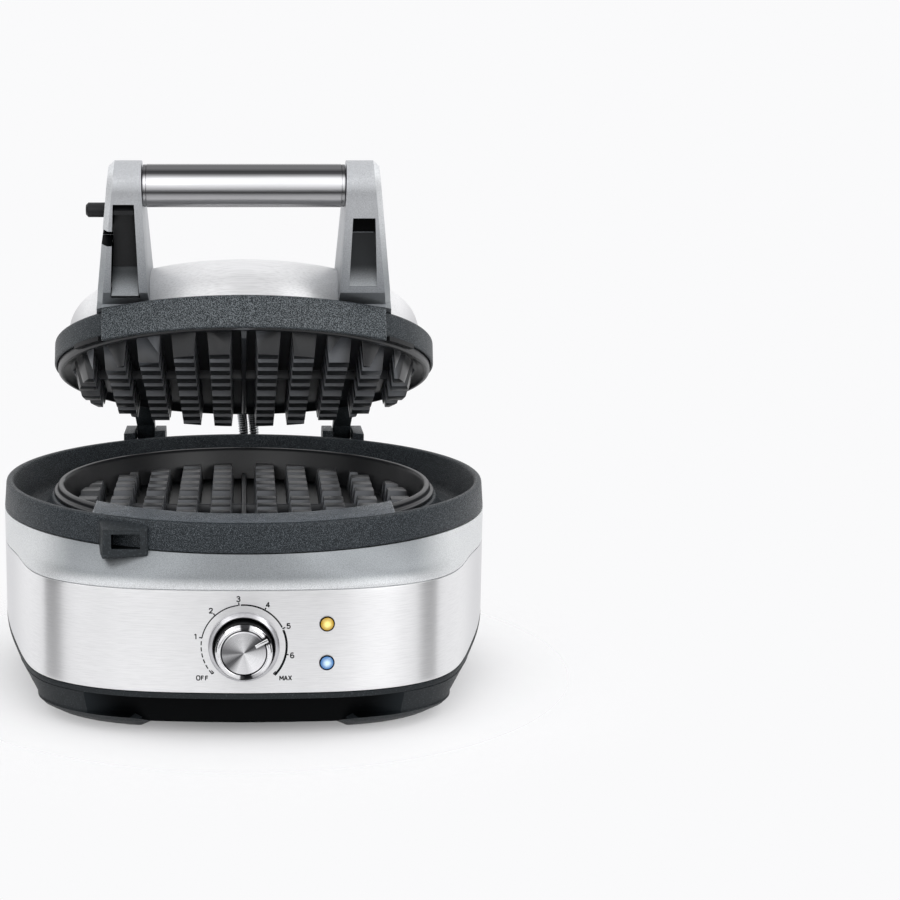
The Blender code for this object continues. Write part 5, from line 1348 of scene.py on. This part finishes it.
# %% Ridge across the right window, as a painted highlight
ridge_along, ridge_deep, ridge_half = 0.0310, 0.0072, 0.0002
ridge_left, ridge_right = 0.0546, 0.0652
ridge_spot = arm_foot + arm_along * ridge_along - arm_out * ridge_deep
# a thin silver bar across the black window: a painted highlight along the ridge's edge
ridge = box_piece("ridge_painted_highlight", (ridge_left, ridge_spot.x - ridge_half, ridge_spot.y - ridge_half),
                  (ridge_right, ridge_spot.x + ridge_half, ridge_spot.y + ridge_half))
ridge.matrix_world = lid_place
dress(settle(ridge), arm_silver_painted_light, slot="handle_arm_right", body="lid")
print("ridge length:", round(ridge_right - ridge_left, 4), "m")

# %% [markdown]
# ## Grip tube and collars
#
# The tube and its two end collars are turned finely enough for a polished surface. They are drawn
# about their own axis and laid along X, so the lines in their finish run along the grip. The left
# collar is the right one's mirror image, not a turned copy, so both keep their lines level.

# %% Grip skins
grip_spot = Vector((0.0, -0.134, 0.179))
grip_steps = 96
grip_radius, grip_bore, grip_half = 0.01075, 0.00955, 0.0485
collar_start = 0.0502
along_x = Matrix.Rotation(math.pi / 2, 4, "Y")
tube_section = [(grip_bore, grip_half), (grip_radius, grip_half), (grip_radius, -grip_half),
                (grip_bore, -grip_half)]
tube_place = lid_place @ Matrix.Translation(grip_spot) @ along_x
tube = turned("tube_skin", tube_section, tube_place, soft=0.0003, steps=grip_steps)
dress(tube, tube_chrome, "handle_tube")
collar_section = [(0.0033, 0.0), (0.0106, 0.0), (0.0106, 0.0016), (0.0095, 0.0016), (0.0095, 0.0046),
                  (0.0033, 0.0046)]
for side, sign in (("left", -1), ("right", 1)):
    place = lid_place @ Matrix.Translation(grip_spot + Vector((sign * collar_start, 0, 0))) @ along_x
    section = [(radius, -sign * height) for radius, height in collar_section[::sign]]
    collar = turned("collar_skin_" + side, section, place, soft=0.0003, steps=grip_steps)
    dress(collar, tube_chrome, "handle_collar_" + side)
print("grip faces:", len(tube.data.polygons), "and in each collar", len(collar.data.polygons))

# %% [markdown]
# ## Dial
#
# The knob is a polished ring round a spun disc, with a pointer bar along one radius. It turns
# in a rounded trim ring. These pieces are drawn about their own axis, so that the spinning marks
# on the disc run round it, and one matrix stands them on the band.

# %% Knob and disc
dial_steps = 128
knob_front, dial_plane = 0.1475, 0.135
face_sunk, disc_thick = 0.0005, 0.0014
dial_place = Matrix.Translation((0.0, -dial_plane, 0.0481)) @ Matrix.Rotation(math.pi / 2, 4, "X")
face = knob_front - dial_plane - face_sunk - fit
seat = face - disc_thick - fit
disc_radius = 0.0111
knob_section = [(0.0, seat), (0.0114, seat), (0.0114, face), (0.0128, face), (0.0144, face - 0.0016),
                (0.0144, 0.001), (0.0129, 0.001), (0.0129, seat - 0.0015), (0.0, seat - 0.0015)]
disc_section = [(0.0, face), (0.0106, face), (disc_radius, face - 0.0005), (disc_radius, seat + fit),
                (0.0, seat + fit)]
knob = turned("knob_skin", knob_section, dial_place, soft=0.0008, closed=False, steps=dial_steps)
dress(knob, ring_chrome, "dial_knob")
second_finish(knob, black_and_painted_shade, lambda polygon: polygon.normal.z < 0.45)
disc = turned("disc_skin", disc_section, dial_place, soft=0.0003, closed=False, steps=dial_steps)
dress(disc, disc_steel, "dial_disc")
rounded_copy("dial_pointer", knob_chrome, 0.00015)
print("dial face stands", round(face * 1000, 2), "mm out")

# %% Trim ring, and painted shade in the gap behind the knob
well_radius = 0.0152
bezel_section = [(well_radius, 0.0024), (0.0157, 0.0028), (0.0160, 0.0028), (0.0173, 0.0019),
                 (0.0178, 0.0010), (0.0178, fit), (well_radius, fit)]
gap_shade_section = [(0.0, 0.0003), (well_radius, 0.0003), (well_radius, 0.0001), (0.0, 0.0001)]
bezel = turned("bezel_skin", bezel_section, dial_place, soft=0.0005, steps=dial_steps)
dress(bezel, trim_steel, "dial_bezel")
# a black disc in the bore: painted shade in the gap round the knob
gap_shade = turned("dial_gap_shade", gap_shade_section, dial_place, closed=False, steps=64)
dress(gap_shade, black_and_painted_shade, slot="dial_bezel", body="base")
print("trim ring faces:", len(bezel.data.polygons))

# %% [markdown]
# ## Printed scale
#
# The scale is ink on the steel: an arc that thickens towards its end, ticks and plain figures.
# Each mark is a flat strip, drawn in metres from the dial's axis and laid on the curved band a
# tenth of a millimetre proud. It could be a picture instead, but outlines stay sharp however
# close the camera comes.

# %% Strips of ink on the band
ink_proud, ink_under = 0.00012, -0.0001


def band_front(x):
    """How far the band's face stands in front of the middle plane, at a given X."""
    low, high = 0.0, math.pi / 2
    for _ in range(30):
        middle = (low + high) / 2
        if plan_radius(math.pi / 2 + middle) * math.sin(middle) < abs(x):
            low = middle
        else:
            high = middle
    return plan_radius(math.pi / 2 + low) * math.cos(low)


def ink_strip(line, width):
    """A flat strip along a line of (x, z) points, as thin as ink but with a front and a back."""
    points, faces = [], []
    for index, (x, z) in enumerate(line):
        before, after = Vector(line[max(0, index - 1)]), Vector(line[min(len(line) - 1, index + 1)])
        side = (after - before).normalized() * width / 2
        for sign in (-1, 1):
            across = x - sign * side.y
            for proud in (ink_proud, ink_under):
                points.append((across, -band_front(across) - proud, z + sign * side.x))
    for index in range(len(line) - 1):
        here, there = 4 * index, 4 * index + 4
        for a, b in ((0, 1), (1, 3), (3, 2), (2, 0)):
            faces.append((here + a, here + b, there + b, there + a))
    last = 4 * (len(line) - 1)
    return points, faces + [(0, 1, 3, 2), (last, last + 2, last + 3, last + 1)]


def joined_strips(name, strips):
    """Several ink strips as one piece on the band."""
    points, faces = [], []
    for strip_points, strip_faces in strips:
        start = len(points)
        points += strip_points
        faces += [tuple(start + i for i in face) for face in strip_faces]
    return dress(piece_from(name, points, faces), scale_ink, slot="body_band", body="base")


print("the band's face is", round(band_front(0.0), 4), "m in front of the middle")

# %% Arc, ticks and arrowheads
dial_height = 0.0482
arc_radius = 0.0213
arc_step = 2.5
arcs = [(168.5, 97.5, 0.00056), (94.0, 27.0, 0.00072), (23.0, -44.0, 0.00110)]
dash_starts, dash_length, dash_width = (173, 181.5, 190, 198.5, 207, 215.5), 5.6, 0.00055
tick_from, tick_to, tick_width = 0.0212, 0.0227, 0.0006
arrow_radius, arrow_length, arrow_width = 0.0204, 0.0012, 0.0005
arrow_rises = (0.00128, -0.00048)
arrows = {-44.0: -1, 222.5: 1}
figure_angles = {"1": 168.5, "2": 132.0, "3": 96.5, "4": 61.0, "5": 25.2, "6": -11.2}


def dial_point(radius, degrees):
    """A point on the band, from its distance and direction from the dial's axis."""
    turn = math.radians(degrees)
    return (radius * math.cos(turn), dial_height + radius * math.sin(turn))


def arc(start, end, width):
    """A strip round the dial's axis, from one direction to another."""
    count = max(2, int(abs(end - start) / arc_step))
    turns = [start + (end - start) * i / count for i in range(count + 1)]
    return ink_strip([dial_point(arc_radius, turn) for turn in turns], width)


marks = [arc(*piece) for piece in arcs]
marks += [arc(start, start + dash_length, dash_width) for start in dash_starts]
for degrees in figure_angles.values():
    marks.append(ink_strip([dial_point(tick_from, degrees), dial_point(tick_to, degrees)], tick_width))
for degrees, inward in arrows.items():
    tip = dial_point(arrow_radius, degrees)
    for rise in arrow_rises:
        marks.append(ink_strip([tip, (tip[0] - inward * arrow_length, tip[1] + rise)], arrow_width))
print("scale marks:", len(marks))

# %% [markdown]
# ## Figures in strokes
#
# The dial's figures and letters are bent lines of one weight, so each is written down as a few
# corner points in a box one unit high, about its middle. Cutting the corners off twice turns a
# bent line into a curve, and a straight stroke stays as it is.

# %% Corner points of the figures
strokes = {
    "1": [[(-0.22, 0.30), (0.04, 0.50)], [(0.06, 0.50), (0.06, -0.50)]],
    "2": [[(-0.30, 0.24), (-0.26, 0.42), (-0.08, 0.48), (0.10, 0.48), (0.28, 0.40), (0.29, 0.18),
           (0.12, -0.02), (-0.32, -0.46)], [(-0.34, -0.43), (0.34, -0.43)]],
    "3": [[(-0.28, 0.34), (-0.12, 0.48), (0.12, 0.48), (0.28, 0.36), (0.26, 0.14), (0.08, 0.05),
           (-0.08, 0.05)],
          [(-0.04, 0.05), (0.14, 0.04), (0.32, -0.10), (0.30, -0.36), (0.12, -0.48), (-0.12, -0.48),
           (-0.32, -0.32)]],
    "4": [[(0.14, 0.50), (0.14, -0.50)], [(0.14, 0.46), (-0.33, -0.24)], [(-0.36, -0.24), (0.36, -0.24)]],
    "5": [[(0.28, 0.44), (-0.26, 0.44)], [(-0.22, 0.48), (-0.27, -0.02)],
          [(-0.26, 0.0), (-0.10, 0.12), (0.12, 0.12), (0.31, -0.02), (0.31, -0.32), (0.12, -0.48),
           (-0.12, -0.48), (-0.32, -0.32)]],
    "6": [[(0.26, 0.40), (0.10, 0.48), (-0.10, 0.48), (-0.27, 0.34), (-0.32, 0.0), (-0.30, -0.28),
           (-0.14, -0.48), (0.12, -0.48), (0.31, -0.36), (0.31, -0.06), (0.12, 0.08), (-0.12, 0.07),
           (-0.30, -0.10)]],
    "O": [[(0.0, 0.48), (0.24, 0.46), (0.37, 0.20), (0.37, -0.20), (0.24, -0.46), (0.0, -0.48),
           (-0.24, -0.46), (-0.37, -0.20), (-0.37, 0.20), (-0.24, 0.46), (0.0, 0.48)]],
    "F": [[(-0.24, 0.50), (-0.24, -0.50)], [(-0.24, 0.43), (0.28, 0.43)], [(-0.24, 0.02), (0.22, 0.02)]],
    "M": [[(-0.37, -0.50), (-0.37, 0.50)], [(-0.36, 0.46), (0.0, -0.20)], [(0.0, -0.20), (0.36, 0.46)],
          [(0.37, 0.50), (0.37, -0.50)]],
    "A": [[(-0.34, -0.50), (0.0, 0.48)], [(0.0, 0.48), (0.34, -0.50)], [(-0.24, -0.20), (0.24, -0.20)]],
    "X": [[(-0.32, 0.50), (0.32, -0.50)], [(-0.32, -0.50), (0.32, 0.50)]],
}
print("figures drawn in strokes:", "".join(strokes))

# %% Figures laid on the band
figure_pitch = 0.92
figure_radius = 0.0245
figure_height, word_height = 0.0026, 0.0023
figure_weight, word_weight = 0.00054, 0.00052
word_level = 0.0318
corner_cuts = 2
words = {"OFF": -0.0207, "MAX": 0.0209}


def rounded_line(line):
    """Cut a bent line's corners until it is a curve. A straight stroke stays as it is."""
    for _ in range(corner_cuts if len(line) > 2 else 0):
        pairs = [(Vector(a), Vector(b)) for a, b in zip(line, line[1:])]
        bends = [point for a, b in pairs for point in (a.lerp(b, 0.25), a.lerp(b, 0.75))]
        line = [line[0], *bends[1:-1], line[-1]]
    return [tuple(point) for point in line]


def figure(text, x, z, height, weight):
    """Plain figures drawn in strokes of one weight, centred on a spot of the band."""
    strips = []
    for index, letter in enumerate(text):
        middle = x + (index - (len(text) - 1) / 2) * figure_pitch * height
        for line in strokes[letter]:
            drawn = [(middle + height * a, z + height * b) for a, b in rounded_line(line)]
            strips.append(ink_strip(drawn, weight))
    return joined_strips("figure_" + text, strips)


for text, degrees in figure_angles.items():
    figure(text, *dial_point(figure_radius, degrees), figure_height, figure_weight)
for text, x in words.items():
    figure(text, x, word_level, word_height, word_weight)
joined_strips("scale_marks", marks)
print("figures:", len(figure_angles) + len(words))

# %% [markdown]
# ## Lamps
#
# Each lamp is a domed lens in a thin dark ring. The lens glows a little, brightest in its middle,
# because the lamp behind it is small.

# %% Lamp skins
lens_radius, lens_edge, lens_rise = 0.0033, 0.0003, 0.0009
lamp_x = 0.0414
lenses = {"amber_lens": (0.0593, amber_glow), "blue_lens": (0.0393, blue_glow)}


def front_place(x, z):
    """The matrix that stands a turned piece on the band, facing straight out of it."""
    slope = (band_front(x + 0.001) - band_front(x - 0.001)) / 0.002
    out = Matrix.Rotation(-math.atan(slope), 4, "Z") @ Matrix.Rotation(math.pi / 2, 4, "X")
    return Matrix.Translation((x, -band_front(x), z)) @ out


def lens_point(degrees):
    """A point of the lens's domed face, from its middle at 0 to its edge at 90."""
    turn = math.radians(degrees)
    return (lens_radius * math.sin(turn), lens_edge + lens_rise * math.cos(turn))


lens_section = [(0.0, lens_edge + lens_rise), *[lens_point(degrees) for degrees in range(10, 91, 10)]]
lens_section += [(lens_radius, 0.0), (0.0, 0.0)]
lens_rim = [(lens_radius, 0.0001), (lens_radius, 0.00055), (0.0036, 0.0006), (0.00385, 0.00045),
            (0.0039, 0.0001)]
for node, (height, glow) in lenses.items():
    place = front_place(lamp_x, height)
    dress(turned(node + "_skin", lens_section, place, closed=False, steps=48), glow, node)
    dress(turned(node + "_rim", lens_rim, place, steps=48), black_and_painted_shade, slot=node, body="base")
print("lamps:", len(lenses))

# %% [markdown]
# ## Conduits
#
# Two wound steel sleeves carry the leads over the hinge to the upper element. Each is a wire
# wound round a curve from the lid's boot to the gland on the base, over a dark inner sleeve.

# %% The bend and what lies round it
lid_end, lid_heading = Vector((0.0012, 0.1202, 0.1330)), Vector((0.0, 0.933, -0.36))
base_end, base_heading = Vector((0.0034, 0.1395, 0.1008)), Vector((0.0, 0.0, -1.0))
bend_reach = 0.014


def conduit_line(offset, count):
    """Points along the bend from the lid to the base, with their directions."""
    side = Vector((offset, 0.0, 0.0))
    start, end = lid_end + side, base_end + side
    near, far = start + lid_heading * bend_reach, end - base_heading * bend_reach
    made = []
    for step in range(count + 1):
        t = step / count
        back = 1 - t
        place = start * back ** 3 + near * 3 * t * back ** 2 + far * 3 * t ** 2 * back + end * t ** 3
        way = (near - start) * back ** 2 + (far - near) * 2 * t * back + (end - far) * t ** 2
        made.append((place, way.normalized()))
    return made


def beside_line(place, way, angle, radius):
    """A point at a distance from a line, at an angle round it."""
    across = Vector((1.0, 0.0, 0.0)).cross(way).normalized()
    upright = way.cross(across).normalized()
    return place + (across * math.cos(angle) + upright * math.sin(angle)) * radius


def swept(name, line, thick, sides):
    """A tube of points round a line, closed by a cap at each end."""
    angles = [2 * math.pi * i / sides for i in range(sides)]
    points = [tuple(beside_line(place, way, angle, thick)) for place, way in line for angle in angles]
    last = (len(line) - 1) * sides
    faces = []
    for start in range(0, last, sides):
        for i in range(sides):
            following = (i + 1) % sides
            faces.append((start + i, start + following, start + sides + following, start + sides + i))
    faces += [tuple(range(sides)), tuple(range(last, last + sides))]
    return piece_from(name, points, faces)


print("from the lid's end to the base's:", round((base_end - lid_end).length, 4), "m")

# %% Conduit skins
conduit_apart = 0.0033
coil_turns, turn_points = 22, 12
coil_radius, wire_radius, wire_sides = 0.0026, 0.0005, 6
sleeve_radius, sleeve_points, sleeve_sides = 0.0021, 24, 16


def wound(offset):
    """The path of a wire that winds round the bend."""
    line = conduit_line(offset, coil_turns * turn_points)
    made = []
    for index, (place, way) in enumerate(line):
        made.append(beside_line(place, way, 2 * math.pi * index / turn_points, coil_radius))
    last = len(made) - 1
    ways = [(made[min(i + 1, last)] - made[max(i - 1, 0)]).normalized() for i in range(last + 1)]
    return list(zip(made, ways))


for side, offset in (("left", -conduit_apart), ("right", conduit_apart)):
    coil = swept("coil_skin_" + side, wound(offset), wire_radius, wire_sides)
    core = swept("sleeve_skin_" + side, conduit_line(offset, sleeve_points), sleeve_radius, sleeve_sides)
    for piece, finish, node in ((coil, pin_zinc, "conduit_spring_"), (core, black_rubber, "conduit_wire_")):
        piece.data.materials.append(finish)
        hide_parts(node + side)
        node + side
        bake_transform(piece)
print("coil faces:", len(coil.data.polygons))

# %% [markdown]
# ## Pieces that keep their packed shape
#
# What little shows of the rest needs a finish only: screws, pads, pins, clips, the dial's shaft,
# the handle's tie rod, heating elements, reflectors, the thermostat and the lamp board.

# %% Finishes for the rest
rest = {
    pin_zinc: ("base_screw", "hinge_pin", "latch_pivot_pin", "handle_tie_rod", "dial_shaft"),
    black_rubber: ("foot_pad",),
    black_latch: ("plate_clip",),
    inner_steel: ("lower_element", "upper_element", "lower_reflector", "upper_reflector", "thermostat"),
    green_board: ("lamp_board",),
}
kept = 0
for finish, starts in rest.items():
    for name, node in nodes.items():
        if name.startswith(starts):
            node.data.materials.clear()
            node.data.materials.append(finish)
            kept += 1
print("kept nodes:", kept)

# %% [markdown]
# ## Stage and light
#
# A pale floor that fades into a white surround carries only the soft shadow. Two large lamps
# stand in front, on either side of the camera, and two more hang high at the sides. Three dark
# cards lie in front and stand at the sides, where the camera doesn't see them. They are there for
# the steel: polished and brushed metal looks like metal only when it has something dark to reflect.

# %% Floor
surround_white = shade(250, 250, 251)
floor_size, floor_height = 4.0, -0.0002
fade_start, fade_end = 0.05, 0.25


def fading_floor(name, near, far):
    """Pale floor whose alpha falls away with distance from the middle."""
    floor = Finish(name)
    where = floor.node("ShaderNodeTexCoord", output="Object")
    radius = floor.node("ShaderNodeVectorMath", {"operation": "LENGTH"}, {0: where}, output="Value")
    grain = floor.noise(0.02)
    tone = floor.mix(surround_white, shade(246, 246, 247), grain)
    floor.set(base_color=tone, roughness=0.8 + 0.05 * grain)
    floor.set(alpha=1 - radius.rise(near, far))
    return floor.material


def flat_piece(name, width, height, place, finish):
    """A flat rectangle of the stage, drawn about its middle and then put in place."""
    mesh = bpy.data.meshes.new(name)
    x, y = width / 2, height / 2
    mesh.from_pydata([(-x, -y, 0), (x, -y, 0), (x, y, 0), (-x, y, 0)], [], [(0, 1, 2, 3)])
    piece = shown(name, mesh)
    piece.matrix_world = place
    piece.data.materials.append(finish)
    return piece


flat_piece("floor", floor_size, floor_size, Matrix.Translation((0, 0, floor_height)),
           fading_floor("floor_fade", fade_start, fade_end))
print("floor fades from", fade_start, "to", fade_end, "m")

# %% Lamps
lit_spot = Vector((0.0, 0.0, 0.1))
lamps = [
    ("front_lamp", (-0.7, -1.6, 0.9), (1.0, 0.7), 3.3),
    ("side_lamp", (1.0, -1.3, 0.8), (0.8, 0.7), 4.2),
    ("left_high_lamp", (-1.0, -0.25, 1.2), (0.9, 0.7), 2.2),
    ("right_high_lamp", (1.0, -0.25, 1.2), (0.9, 0.7), 3.5),
]


def lamp(name, place, size, power):
    """A rectangular lamp that faces the appliance and isn't seen itself."""
    light = bpy.data.lights.new(name, "AREA")
    light.shape = "RECTANGLE"
    light.size, light.size_y = size
    light.energy = power
    made = bpy.data.objects.new(name, light)
    bpy.context.scene.collection.objects.link(made)
    made.location = place
    made.rotation_euler = (lit_spot - Vector(place)).to_track_quat("-Z", "Y").to_euler()
    made.visible_camera = False


for settings in lamps:
    lamp(*settings)
print("lamps:", len(lamps), "with", round(sum(settings[3] for settings in lamps), 1), "W in all")

# %% Dark cards and surround
card_black = moulded("card_black", shade(14, 14, 15), 0.002, 0.0001, 0.9)
card_distance, card_middle, card_height = 1.1, 0.35, 1.2
standing = (("card_left", -86, 0.46), ("card_right", 78, 0.38))

cards = [flat_piece("card_below", 0.9, 0.34, Matrix.Translation((0, -0.56, 0.001)), card_black)]
for name, degrees, width in standing:
    turn = Matrix.Rotation(math.radians(degrees), 4, "Z")
    away = Matrix.Translation((0, -card_distance, card_middle))
    place = turn @ away @ Matrix.Rotation(math.pi / 2, 4, "X")
    cards.append(flat_piece(name, width, card_height, place, card_black))
for card in cards:
    card.visible_camera = False

world = bpy.data.worlds.new("surround")
bpy.context.scene.world = world
world.use_nodes = True
world.node_tree.nodes["Background"].inputs["Color"].default_value = surround_white
bpy.context.scene.view_settings.view_transform = "Standard"
print("cards:", len(cards))

# %% [markdown]
# ## Sizes
#
# Taken by the corners of each piece's own box, with the lid's skins tilted with theirs, the box
# of everything shown comes out about 1.4 mm taller than the frame's, though nothing shown really
# reaches past it.
